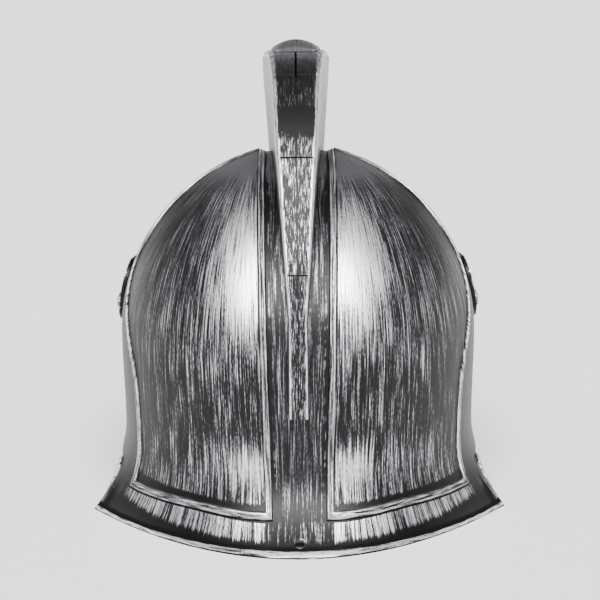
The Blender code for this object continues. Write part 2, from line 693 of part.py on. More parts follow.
def rosette(name, side, walls):
    """A domed rosette on the face plate's tab, with its stem and tail as one turned piece."""
    inset = math.degrees(ROSETTE_INSET / BOWL_HALF_WIDTH)
    spot, normal, level = skin_point(bowl_radii, None, TAB_AZIMUTH + inset, ROSETTE_HEIGHT)
    seat = VISOR_CLEARANCE + VISOR_WALL + GAP
    tail = -WALL - TAIL_CLEARANCE
    outline = [(ROSETTE_RADIUS * radius, seat + ROSETTE_RISE * rise) for radius, rise in ROSETTE_DOME]
    outline += [
        (STEM_RADIUS, seat),
        (STEM_RADIUS, tail),
        (TAIL_RADIUS, tail),
        (TAIL_RADIUS, tail - TAIL_THICKNESS),
        (0.0, tail - TAIL_THICKNESS),
    ]
    mesh = bmesh.new()
    corners = [mesh.verts.new((radius, 0, reach)) for radius, reach in outline]
    for first, last in zip(corners, corners[1:]):
        mesh.edges.new((first, last))
    bmesh.ops.spin(
        mesh, geom=mesh.verts[:] + mesh.edges[:], cent=(0, 0, 0), axis=(0, 0, 1),
        angle=FULL_TURN, steps=SIDES, use_merge=True,
    )
    bmesh.ops.remove_doubles(mesh, verts=mesh.verts, dist=TINY)
    point = Vector((side * spot.x, spot.y, spot.z))
    axis = Vector((side * normal.x, normal.y, normal.z))
    turn = axis.to_track_quat("Z", "Y").to_matrix().to_4x4()
    bmesh.ops.transform(mesh, matrix=Matrix.Translation(point) @ turn, verts=mesh.verts)
    bmesh.ops.recalc_face_normals(mesh, faces=mesh.faces)
    piece = finish(name, mesh)
    for wall in walls:
        cut(wall, drill(f"{name}_{wall.name}_cutter", STEM_RADIUS + STEM_CLEARANCE, point, axis))
    return piece


def material(name, look):
    made = bpy.data.materials.new(name)
    made.use_nodes = True
    shader = made.node_tree.nodes["Principled BSDF"]
    shader.inputs["Base Color"].default_value = (*look.colour, 1.0)
    shader.inputs["Metallic"].default_value = look.metallic
    shader.inputs["Roughness"].default_value = look.roughness
    return made


def centre(pieces):
    """Moves every piece along Y so that the middle of the helmet's length is over the origin."""
    reaches = [point.co.y for piece in pieces for point in piece.data.vertices if not piece.hide_render]
    shift = Matrix.Translation((0, -(min(reaches) + max(reaches)) / 2, 0))
    for piece in pieces:
        piece.data.transform(shift)


def main():
    for thing in list(bpy.data.objects):
        bpy.data.objects.remove(thing, do_unlink=True)
    shell = skull_shell()
    plate = visor()
    pieces = {
        shell: BRUSHED_BOWL,
        plate: BRUSHED_BOWL,
        crest_half("crest_left", 1): BRUSHED_CREST,
        crest_half("crest_right", -1): BRUSHED_CREST,
        crest_cap(): GREY_CAP,
        rosette("temple_rosette_left", 1, [shell, plate]): SILVER_ROSETTE,
        rosette("temple_rosette_right", -1, [shell, plate]): SILVER_ROSETTE,
    }
    for piece, look in pieces.items():
        piece.data.materials.append(material(f"{piece.name}_plastic", look))
    centre(list(bpy.data.objects))


main()
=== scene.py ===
"""Looks of a gladiator helmet of moulded black plastic, dry-brushed with silver.

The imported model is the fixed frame, and a finer piece replaces each of its solids in place.
Metres, +Z up. The helmet faces -Y, and the wearer's left is +X. Azimuths are in degrees round the
bowl, from the nape (0) to the middle of the face (180).
"""

import logging
import math
from dataclasses import dataclass
from enum import Enum
from functools import cache
from typing import Callable, NamedTuple, Optional

import bmesh
import bpy
from mathutils import Matrix, Vector, kdtree


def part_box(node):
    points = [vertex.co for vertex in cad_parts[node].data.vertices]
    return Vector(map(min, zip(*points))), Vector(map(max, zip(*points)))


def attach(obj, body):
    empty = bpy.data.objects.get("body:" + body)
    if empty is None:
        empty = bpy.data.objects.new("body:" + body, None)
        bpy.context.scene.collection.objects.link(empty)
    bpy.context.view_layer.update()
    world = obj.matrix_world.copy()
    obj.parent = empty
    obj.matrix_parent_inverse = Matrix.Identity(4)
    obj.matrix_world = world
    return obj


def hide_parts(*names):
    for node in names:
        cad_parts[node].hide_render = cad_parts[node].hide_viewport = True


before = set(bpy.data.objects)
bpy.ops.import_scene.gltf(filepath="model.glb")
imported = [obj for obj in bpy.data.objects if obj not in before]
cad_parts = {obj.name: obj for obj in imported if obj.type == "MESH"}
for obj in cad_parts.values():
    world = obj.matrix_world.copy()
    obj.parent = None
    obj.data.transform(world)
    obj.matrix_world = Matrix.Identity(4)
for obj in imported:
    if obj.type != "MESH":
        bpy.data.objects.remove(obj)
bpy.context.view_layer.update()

LOG = logging.getLogger("gladiator_helmet")
MM = 0.001
MERGE = 1e-6  # corners closer together than this are one
FULL_TURN = 2 * math.pi
FLOOR_REACH = 4 * MM  # height over which a raised point's direction turns from level to square
Line = Callable[[float], float]  # where a grid line lies at a height, as a distance or an azimuth


def ease(share: float) -> float:
    """Smooth step from 0 to 1 as the share goes from 0 to 1."""
    share = min(max(share, 0.0), 1.0)
    return (1 - math.cos(math.pi * share)) / 2


def blend(low: float, high: float, share: float) -> float:
    """Smooth change from low to high as the share goes from 0 to 1."""
    return low + (high - low) * ease(share)


def mix(low: float, high: float, share: float) -> float:
    """Straight change from low to high as the share goes from 0 to 1."""
    return low + (high - low) * min(max(share, 0.0), 1.0)


def past(value: float, start: float, run: float) -> float:
    """Smooth step from 0 at the start to 1 where the value is a run past it."""
    return ease((value - start) / run)


def bump(value: float, centre: float, reach: float) -> float:
    """Smooth hill of height 1 at the centre that ends at the reach on both sides."""
    return ease(1 - abs(value - centre) / reach)


def between(table: tuple[tuple[float, ...], ...], key: float) -> list[float]:
    """Reads a table between its rows.

    Args:
        table: Rows in rising order of their first value.
        key: First value at which it is read.

    Returns:
        The other values there.
    """
    last = table[0]
    for row in table:
        if key <= row[0]:
            share = (key - last[0]) / ((row[0] - last[0]) or 1.0)
            return [mix(low, high, share) for low, high in zip(last[1:], row[1:])]
        last = row
    return list(last[1:])


class Side(Enum):
    """Sides of the wearer, with the sign of X there."""

    LEFT = 1
    RIGHT = -1

    @property
    def word(self) -> str:
        """The side's name as it stands in the names of pieces."""
        return self.name.lower()


class Section(Enum):
    """Stretches of a level cut through half a skin."""

    NAPE_STRIP = "flat strip at the nape"
    ROUND = "round side"
    FACE_STRIP = "flat strip at the face"


class Place(NamedTuple):
    """Where a line of a grid lies on a skin at some height."""

    section: Section
    across: float
    azimuth: float


class Spot(NamedTuple):
    """A skin point with its outward direction, its level direction and its speed per radian."""

    point: Vector
    normal: Vector
    level: Vector
    speed: float

    def outward(self) -> Vector:
        """Direction in which a raised point leaves the skin: level at the floor, and square to it above."""
        flat = self.level / max(self.normal.x * self.level.x + self.normal.y * self.level.y, 0.5)
        return flat.lerp(self.normal, min(self.point.z / FLOOR_REACH, 1.0))


@dataclass(frozen=True)
class BowlSkin:
    """Plain outer skin of the bowl: two half bowls with a flat strip between them."""

    half_width: float = 0.1035
    half_length: float = 0.124
    equator: float = 0.096
    dome_rise: float = 0.105
    waist: float = 0.044
    waist_half_width: float = 0.1025
    waist_half_length: float = 0.116
    rim_half_width: float = 0.1225
    rim_half_length: float = 0.1433
    rim_bend_radius: float = 0.0745
    flare_power: float = 2.2
    guard_azimuth: float = 70.5
    cheek_azimuth: float = 102.0
    band_half_width_top: float = 0.0176
    band_half_width_rim: float = 0.0138
    band_widening: float = 0.9
    bead_width: float = 0.004
    slope_step: float = 1e-5

    @property
    def pole(self) -> float:
        """Height of the bowl's top, where it is no wider than the band and its beads."""
        share = (self.band_half_width_top + self.bead_width) / self.half_width
        return self.equator + self.dome_rise * math.sqrt(1 - share * share)

    def band_half_width(self, height: float) -> float:
        """Half width of the plain band at a height."""
        share = min(height / (self.equator + self.band_widening * self.dome_rise), 1.0)
        return mix(self.band_half_width_rim, self.band_half_width_top, share)

    def round_start(self, height: float) -> float:
        """Distance from the middle plane at which the bowl's round side starts."""
        return self.band_half_width(height) + self.bead_width

    def radii(self, height: float) -> tuple[float, float]:
        """Half width and half length of the skin at a height."""
        if height >= self.equator:
            rise = height - self.equator
            across = math.sqrt(max(1 - (rise / self.dome_rise) ** 2, 0))
            along = math.sqrt(max(1 - (rise / (self.pole - self.equator)) ** 2, 0))
            return self.half_width * across, self.half_length * along
        if height >= self.waist:
            share = (self.equator - height) / (self.equator - self.waist)
            return (
                blend(self.half_width, self.waist_half_width, share),
                blend(self.half_length, self.waist_half_length, share),
            )
        flare = (1 - height / self.waist) ** self.flare_power
        return (
            self.waist_half_width + (self.rim_half_width - self.waist_half_width) * flare,
            self.waist_half_length + (self.rim_half_length - self.waist_half_length) * flare,
        )

    def bend(self, across: float, azimuth: float, height: float) -> float:
        """How far the flare draws back from an oval, so that its rim bends evenly round the nape."""
        if height >= self.waist or azimuth > self.cheek_azimuth:
            return 0.0
        flare = (1 - height / self.waist) ** self.flare_power
        bent = self.rim_half_length - across * across / (2 * self.rim_bend_radius)
        oval = self.rim_half_length * math.cos(math.radians(azimuth))
        fade = ease((self.cheek_azimuth - azimuth) / (self.cheek_azimuth - self.guard_azimuth))
        return (bent - oval) * flare * fade

    def plan(self, place: Place, height: float) -> tuple[float, float]:
        """Distances of the skin from the middle plane and from the bowl's own middle."""
        half_width, half_length = self.radii(height)
        if place.section is Section.ROUND:
            turn, start = math.radians(place.azimuth), self.round_start(height)
            across = start + max(half_width - start, 0) * math.sin(turn)
            return across, half_length * math.cos(turn) + self.bend(across, place.azimuth, height)
        side = 1 if place.section is Section.NAPE_STRIP else -1
        return place.across, side * half_length + self.bend(place.across, place.azimuth, height)

    def spot(self, place: Place, height: float) -> Spot:
        """The skin at a place and height.

        Args:
            place: Line of the grid, by its distance across a strip or its azimuth.
            height: Height over the floor.

        Returns:
            The point with its directions.
        """
        pole, step = self.pole, self.slope_step
        across, along = self.plan(place, height)
        if place.section is Section.ROUND:
            turn = math.degrees(step / self.half_width)
            ahead = self.plan(place._replace(azimuth=place.azimuth + turn), height)
            behind = self.plan(place._replace(azimuth=place.azimuth - turn), height)
            side, speed = 1, math.dist(ahead, behind) / (2 * math.radians(turn))
        else:
            ahead = self.plan(place._replace(across=place.across + step), height)
            behind = self.plan(place._replace(across=place.across - step), height)
            side, speed = (1 if place.section is Section.NAPE_STRIP else -1), self.half_width
        run = math.dist(ahead, behind)
        flat = (0, 0)
        if run > MERGE ** 2:
            flat = ((behind[1] - ahead[1]) / run, side * (ahead[0] - behind[0]) / run)
        high, low = min(height + step, pole), max(height - step, 0)
        above, below = self.plan(place, high), self.plan(place, low)
        outward = sum((up - down) * part for up, down, part in zip(above, below, flat)) / (high - low)
        point, level = Vector((across, along, height)), Vector((*flat, 0))
        if height > pole - 2 * step:
            return Spot(point, Vector((0, 0, 1)), level, speed)
        return Spot(point, Vector((*flat, -outward)).normalized(), level, speed)


@dataclass(frozen=True)
class FaceSkin(BowlSkin):
    """Skin that the face plate follows: the bowl's, drawn in toward the chin."""

    side_edge: float = 0.036
    cheek_taper: float = 0.06

    def radii(self, height: float) -> tuple[float, float]:
        """Half width and half length of the skin at a height."""
        half_width, half_length = super().radii(max(height, self.side_edge))
        taper = 1 - self.cheek_taper * max(1 - height / self.side_edge, 0) ** 2
        return half_width * taper, half_length * taper


class Coat(NamedTuple):
    """Paint at one corner: how much silver there is, from -1 to 1, and how evenly it lies, 0 to 1. On the
    bowl the silver also holds painted highlights and painted shade.
    """

    silver: float
    even: float


BARE = Coat(-1.0, 0.6)


class SilverAndPaintedLight(NamedTuple):
    """A zone of more or less silver: how much, around which value and how far. Some zones are silver that the
    brush left, and some are painted highlights or painted shade.
    """

    amount: float
    centre: float
    reach: float

    def at(self, value: float) -> float:
        """Silver that the zone adds at a value."""
        return self.amount * bump(value, self.centre, self.reach)


class Corner(NamedTuple):
    """One corner of a walled piece: both faces of its wall, its place on the brush map, its paint.

    The map runs across the strokes, then along them, and its last value gives each face its own strokes.
    """

    outer: Vector
    inner: Vector
    brush: Vector
    coat: Coat


class Span(NamedTuple):
    """Grid lines between two lines of a skin, each given as a function of the height."""

    section: Section
    first: Line
    last: Line
    cells: int


def lines_of(spans: list[Span]) -> list[Callable[[float], Place]]:
    """Turns spans into grid lines.

    Args:
        spans: Spans in order, each starting where the one before it ends.

    Returns:
        One function for each line, giving its place at a height.
    """
    lines = []
    for number, span in enumerate(spans):
        for cell in range(0 if number == 0 else 1, span.cells + 1):

            def line(height: float, span: Span = span, share: float = cell / span.cells) -> Place:
                """Place of this line at a height."""
                value = mix(span.first(height), span.last(height), share)
                if span.section is Section.ROUND:
                    return Place(span.section, 0.0, value)
                return Place(span.section, value, 0.0 if span.section is Section.NAPE_STRIP else 180.0)

            lines.append(line)
    return lines


def steps_of(stretches: list[tuple[float, int]], start: float) -> list[float]:
    """Values from a start through each stretch's end, split into its number of cells."""
    values = [start]
    for end, cells in stretches:
        first = values[-1]
        values += [first + (end - first) * (cell + 1) / cells for cell in range(cells)]
    return values


class Wall:
    """A walled piece made from a grid: trimmed, placed, mirrored, thickened and finished."""

    def __init__(self, columns: int, rows: int, kept: Callable[[int, int], bool]) -> None:
        """Makes the grid and removes the cells that the piece lacks.

        Args:
            columns: Number of cells across.
            rows: Number of cells up.
            kept: Says whether the cell at a column and row belongs to the piece.
        """
        self.mesh = bmesh.new()
        bmesh.ops.create_grid(self.mesh, x_segments=columns, y_segments=rows, size=0.5)
        layers = self.mesh.verts.layers
        self.inner = layers.float_vector.new("inner")
        self.brush = layers.float_vector.new("brush")
        self.silver = layers.float.new("silver")
        self.even = layers.float.new("even")
        self.column = layers.int.new("column")
        self.row = layers.int.new("row")
        for vert in self.mesh.verts:
            vert[self.column] = round((vert.co.x + 0.5) * columns)
            vert[self.row] = round((vert.co.y + 0.5) * rows)
        missing = []
        for face in self.mesh.faces:
            middle = face.calc_center_median()
            if not kept(int((middle.x + 0.5) * columns), int((middle.y + 0.5) * rows)):
                missing.append(face)
        bmesh.ops.delete(self.mesh, geom=missing, context="FACES")

    def place(self, corner: Callable[[int, int], Corner]) -> None:
        """Moves each corner to its place and paints it.

        Args:
            corner: Gives the corner at a column and row.
        """
        for vert in self.mesh.verts:
            made = corner(vert[self.column], vert[self.row])
            vert.co = made.outer
            vert[self.inner] = made.inner
            vert[self.brush] = made.brush
            vert[self.silver], vert[self.even] = made.coat

    def mirror(self) -> None:
        """Adds the other half of a piece that meets the middle plane."""
        geom = self.mesh.verts[:] + self.mesh.edges[:] + self.mesh.faces[:]
        bmesh.ops.mirror(self.mesh, geom=geom, matrix=Matrix.Identity(4), merge_dist=MERGE, axis="X")
        for vert in self.mesh.verts:
            if vert.co.x < -MERGE:
                vert[self.inner].x *= -1
                vert[self.brush].x *= -1

    def thicken(self, bare_inside: bool = True) -> None:
        """Merges the corners that coincide, turns the skin outward and gives it its inner face.

        Args:
            bare_inside: Whether the paint stops at the edges, as on a moulding painted once assembled.
        """
        bmesh.ops.remove_doubles(self.mesh, verts=self.mesh.verts, dist=MERGE)
        bmesh.ops.recalc_face_normals(self.mesh, faces=self.mesh.faces)
        self.mesh.normal_update()
        lean = sum((vert.co - vert[self.inner]).dot(vert.normal) for vert in self.mesh.verts)
        if lean < 0:
            bmesh.ops.reverse_faces(self.mesh, faces=self.mesh.faces)
        outer = set(self.mesh.verts)
        bmesh.ops.solidify(self.mesh, geom=self.mesh.faces[:], thickness=MM)
        for vert in self.mesh.verts:
            if vert not in outer:
                vert.co = vert[self.inner]
                if bare_inside:
                    vert[self.silver], vert[self.even] = BARE

    def finish(self, name: str) -> bpy.types.Object:
        """Writes the mesh to an object of this name, at the origin and in the frame's place."""
        bmesh.ops.dissolve_degenerate(self.mesh, dist=MERGE / 10, edges=self.mesh.edges)
        bmesh.ops.translate(self.mesh, vec=frame_shift(), verts=self.mesh.verts)
        return new_piece(name, self.mesh)


def new_piece(name: str, mesh: bmesh.types.BMesh, sharp_angle: float = 50.0) -> bpy.types.Object:
    """Makes a smooth-shaded object of a bmesh and frees it.

    Args:
        name: Name of the object.
        mesh: Its shape, in the frame's place.
        sharp_angle: Edges that fold by more degrees than this stay sharp.

    Returns:
        The object, linked to the scene.
    """
    data = bpy.data.meshes.new(name)
    mesh.to_mesh(data)
    mesh.free()
    data.shade_smooth()
    data.set_sharp_from_angle(angle=math.radians(sharp_angle))
    piece = bpy.data.objects.new(name, data)
    bpy.context.scene.collection.objects.link(piece)
    return piece


def drill(piece: bpy.types.Object, centre: Vector, axis: Vector, radius: float, length: float) -> None:
    """Cuts a round hole through a piece.

    Args:
        piece: Object that gets the hole.
        centre: Point on the hole's axis, in the wall, before the shift to the frame.
        axis: Direction of the hole.
        radius: Its radius.
        length: Length of the cutter.
    """
    mesh = bmesh.new()
    bmesh.ops.create_cone(mesh, cap_ends=True, segments=32, radius1=radius, radius2=radius, depth=length)
    turn = axis.to_track_quat("Z", "Y").to_matrix().to_4x4()
    bmesh.ops.transform(mesh, matrix=Matrix.Translation(centre + frame_shift()) @ turn, verts=mesh.verts)
    cutter = new_piece("cutter", mesh)
    hole = piece.modifiers.new("hole", "BOOLEAN")
    hole.operation = "DIFFERENCE"
    hole.object = cutter
    cut = bpy.data.meshes.new_from_object(piece.evaluated_get(bpy.context.evaluated_depsgraph_get()))
    plain = piece.data
    piece.modifiers.remove(hole)
    piece.data = cut
    cut.name = plain.name
    bpy.data.meshes.remove(plain)
    bpy.data.objects.remove(cutter, do_unlink=True)


def srgb(code: str) -> tuple[float, float, float, float]:
    """Turns an sRGB hex code such as "#808080" into linear colour with full alpha."""
    parts = [int(code[place:place + 2], 16) / 255 for place in (1, 3, 5)]
    linear = [part / 12.92 if part <= 0.04045 else ((part + 0.055) / 1.055) ** 2.4 for part in parts]
    return (linear[0], linear[1], linear[2], 1.0)


def add_node(tree: bpy.types.NodeTree, kind: str, inputs: Optional[dict] = None, **settings: object):
    """Adds a node with its settings and links.

    Args:
        tree: Node tree of the material.
        kind: Blender's name of the node type.
        inputs: Socket name or number to a value, or to the output socket that feeds it.
        **settings: Attributes of the node itself.

    Returns:
        The node.
    """
    node = tree.nodes.new(kind)
    for name, value in settings.items():
        setattr(node, name, value)
    for socket, value in (inputs or {}).items():
        if isinstance(value, bpy.types.NodeSocket):
            tree.links.new(value, node.inputs[socket])
        else:
            node.inputs[socket].default_value = value
    return node


class Mark(NamedTuple):
    """One size of brush mark: its width and length, how ragged it is, and its weight among the others."""

    width: float
    length: float
    detail: float
    weight: float


@dataclass(frozen=True)
class BrushedPlastic:
    """Injection-moulded black ABS, dry-brushed by hand with silver paint.

    The bare plastic is satin and nearly black. The paint holds metal flakes, so it shines broadly
    where it is thick and goes grey where the brush ran dry, in strokes that follow the brush map.
    """

    name: str
    bare: str = "#040405"
    thin: str = "#202022"
    middle: str = "#6c6d70"
    thick: str = "#e0e1e4"
    levels: tuple[float, ...] = (0.14, 0.36, 0.58, 0.92)  # amount of silver at each of the four colours
    bare_roughness: float = 0.42
    paint_roughness: float = 0.38
    paint_metallic: float = 0.85
    gloss: float = 0.2
    stroke_width: float = 0.6 * MM
    stroke_length: float = 24 * MM
    speck_width: float = 0.55 * MM
    speck_length: float = 2.4 * MM
    group_width: float = 4.0 * MM
    group_length: float = 60 * MM
    waver_width: float = 1 / 60.0
    waver_length: float = 1 / 22.0
    waver: float = 2.8 * MM
    contrast: float = 4.1
    even_contrast: float = 0.5
    relief: float = 0.10 * MM
    relief_strength: float = 0.7

    def marks(self) -> tuple[Mark, ...]:
        """Bristles, tufts, specks where a bristle skipped, strokes, and passes of the hand."""
        return (
            Mark(self.stroke_width, self.stroke_length, 2.0, 0.56),
            Mark(self.stroke_width * 2.2, self.stroke_length * 1.6, 1.0, 0.28),
            Mark(self.speck_width, self.speck_length, 1.0, 0.18),
            Mark(self.group_width, self.group_length, 2.0, 0.12),
            Mark(self.group_width * 5, self.group_length * 0.8, 1.0, 0.05),
        )

    def path(self, tree: bpy.types.NodeTree) -> bpy.types.NodeSocket:
        """Adds the brush map with the hand's waver, so that no stroke is ruled."""
        brush = add_node(tree, "ShaderNodeAttribute", attribute_name="brush").outputs["Vector"]
        scale = (1 / self.waver_width, 1 / self.waver_length, 1.0)
        slow = add_node(tree, "ShaderNodeVectorMath", {0: brush, 1: scale}, operation="MULTIPLY").outputs[0]
        noise = add_node(tree, "ShaderNodeTexNoise", {"Vector": slow, "Scale": 1.0, "Detail": 1.0})
        path = noise.outputs["Color"]
        steps = (("SUBTRACT", (0.5, 0.5, 0.5)), ("MULTIPLY", (self.waver, 0.0, 0.0)), ("ADD", brush))
        for operation, other in steps:
            path = add_node(tree, "ShaderNodeVectorMath", {0: path, 1: other}, operation=operation).outputs[0]
        return path

    def level(self, tree: bpy.types.NodeTree) -> bpy.types.NodeSocket:
        """Adds the amount of silver at a point, from 0 for bare plastic to 1."""
        silver = add_node(tree, "ShaderNodeAttribute", attribute_name="silver").outputs["Fac"]
        even = add_node(tree, "ShaderNodeAttribute", attribute_name="even").outputs["Fac"]
        path, total = self.path(tree), 0.0
        for mark in self.marks():
            scale = {0: path, 1: (1 / mark.width, 1 / mark.length, 1.0)}
            scaled = add_node(tree, "ShaderNodeVectorMath", scale, operation="MULTIPLY").outputs[0]
            pattern = {"Vector": scaled, "Scale": 1.0, "Detail": mark.detail}
            noise = add_node(tree, "ShaderNodeTexNoise", pattern).outputs[0]
            parts = {0: noise, 1: mark.weight, 2: -0.5 * mark.weight}
            part = add_node(tree, "ShaderNodeMath", parts, operation="MULTIPLY_ADD").outputs[0]
            total = add_node(tree, "ShaderNodeMath", {0: total, 1: part}, operation="ADD").outputs[0]
        calm = add_node(tree, "ShaderNodeMapRange", {
            "Value": even, "To Min": self.contrast, "To Max": self.even_contrast,
        }).outputs[0]
        for operation, other in (("MULTIPLY", calm), ("ADD", silver), ("ADD", 0.5)):
            total = add_node(tree, "ShaderNodeMath", {0: total, 1: other}, operation=operation).outputs[0]
        total.node.use_clamp = True
        return total

    def material(self) -> bpy.types.Material:
        """The finish as a node material that reads the piece's brush, silver and even attributes."""
        made = bpy.data.materials.new(self.name)
        made.use_nodes = True
        tree = made.node_tree
        shader = tree.nodes["Principled BSDF"]
        level = self.level(tree)
        ramp = add_node(tree, "ShaderNodeValToRGB", {"Fac": level})
        stops, colours = ramp.color_ramp.elements, (self.bare, self.thin, self.middle, self.thick)
        while len(stops) < len(colours):
            stops.new(0.5)
        for stop, share, colour in zip(stops, self.levels, colours):
            stop.position, stop.color = share, srgb(colour)
        tree.links.new(ramp.outputs["Color"], shader.inputs["Base Color"])
        spreads = (
            ("Metallic", 0.12, 0.0, self.paint_metallic),
            ("Roughness", 0.1, self.bare_roughness, self.paint_roughness),
        )
        for socket, start, bare, painted in spreads:
            spread = {"Value": level, "From Min": start, "From Max": 0.6, "To Min": bare, "To Max": painted}
            output = add_node(tree, "ShaderNodeMapRange", spread).outputs[0]
            tree.links.new(output, shader.inputs[socket])
        ridges = {"Height": level, "Strength": self.relief_strength, "Distance": self.relief}
        normal = add_node(tree, "ShaderNodeBump", ridges).outputs["Normal"]
        tree.links.new(normal, shader.inputs["Normal"])
        shader.inputs["Specular IOR Level"].default_value = self.gloss
        return made


# Long ruled strokes up the bowl give it bright streaks between black ones, like worn steel
BOWL_FINISH = BrushedPlastic("abs_dry_brushed_silver_bowl")
# Shorter strokes, since the hand had less room on the face plate, give it a closer grain
FACE_FINISH = BrushedPlastic("abs_dry_brushed_silver_face_plate", stroke_length=18 * MM)
# A nearly dry brush on the crest's ridge leaves short fine dabs, which look like cracked silver.
# The real ones are finer still, and these are drawn as coarse as they need to be to show
CREST_FINISH = BrushedPlastic(
    "abs_dry_brushed_silver_crest", stroke_width=0.34 * MM, stroke_length=6 * MM, speck_width=0.4 * MM,
    speck_length=1.6 * MM, group_width=2.4 * MM, group_length=16 * MM, contrast=3.9,
)
# One thin even coat turns the cap a soft grey with hardly a streak
CAP_FINISH = BrushedPlastic("abs_thin_silver_cap", thick="#b4b5b8", contrast=3.0)
# Short strokes over the petals catch their tops and leave the valleys black
ROSETTE_FINISH = BrushedPlastic("abs_worn_silver_rosette", stroke_length=4 * MM, group_length=8 * MM)


@cache
def frame_shift() -> Vector:
    """Move from the bowl's own middle to the frame's origin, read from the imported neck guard's rim."""
    bowl = Bowl(BowlSkin())
    spot = bowl.skin.spot(Place(Section.NAPE_STRIP, 0.0, 0.0), 0.0)
    own = (spot.point + spot.outward() * bowl.rim_rise).y
    return Vector((0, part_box("skull_shell")[1][1] - own, 0))


def dress(piece: bpy.types.Object, node: str, finish: BrushedPlastic) -> bpy.types.Object:
    """Paints a piece and ties it to the frame.

    Args:
        piece: The finished object.
        node: CAD node that it replaces.
        finish: Its paint.

    Returns:
        The same object.
    """
    piece.data.materials.clear()
    piece.data.materials.append(finish.material())
    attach(piece, "root")
    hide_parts(node)
    return piece


class Cell(NamedTuple):
    """A corner of the bowl's grid before its relief and paint.

    The row's height is the one before the row climbs toward the side. Inside is the distance from the
    panel's border line, positive inside it, and edge the distance from the neck guard's free edge.
    """

    place: Place
    spot: Spot
    height: float
    row_height: float
    inside: float
    edge: float


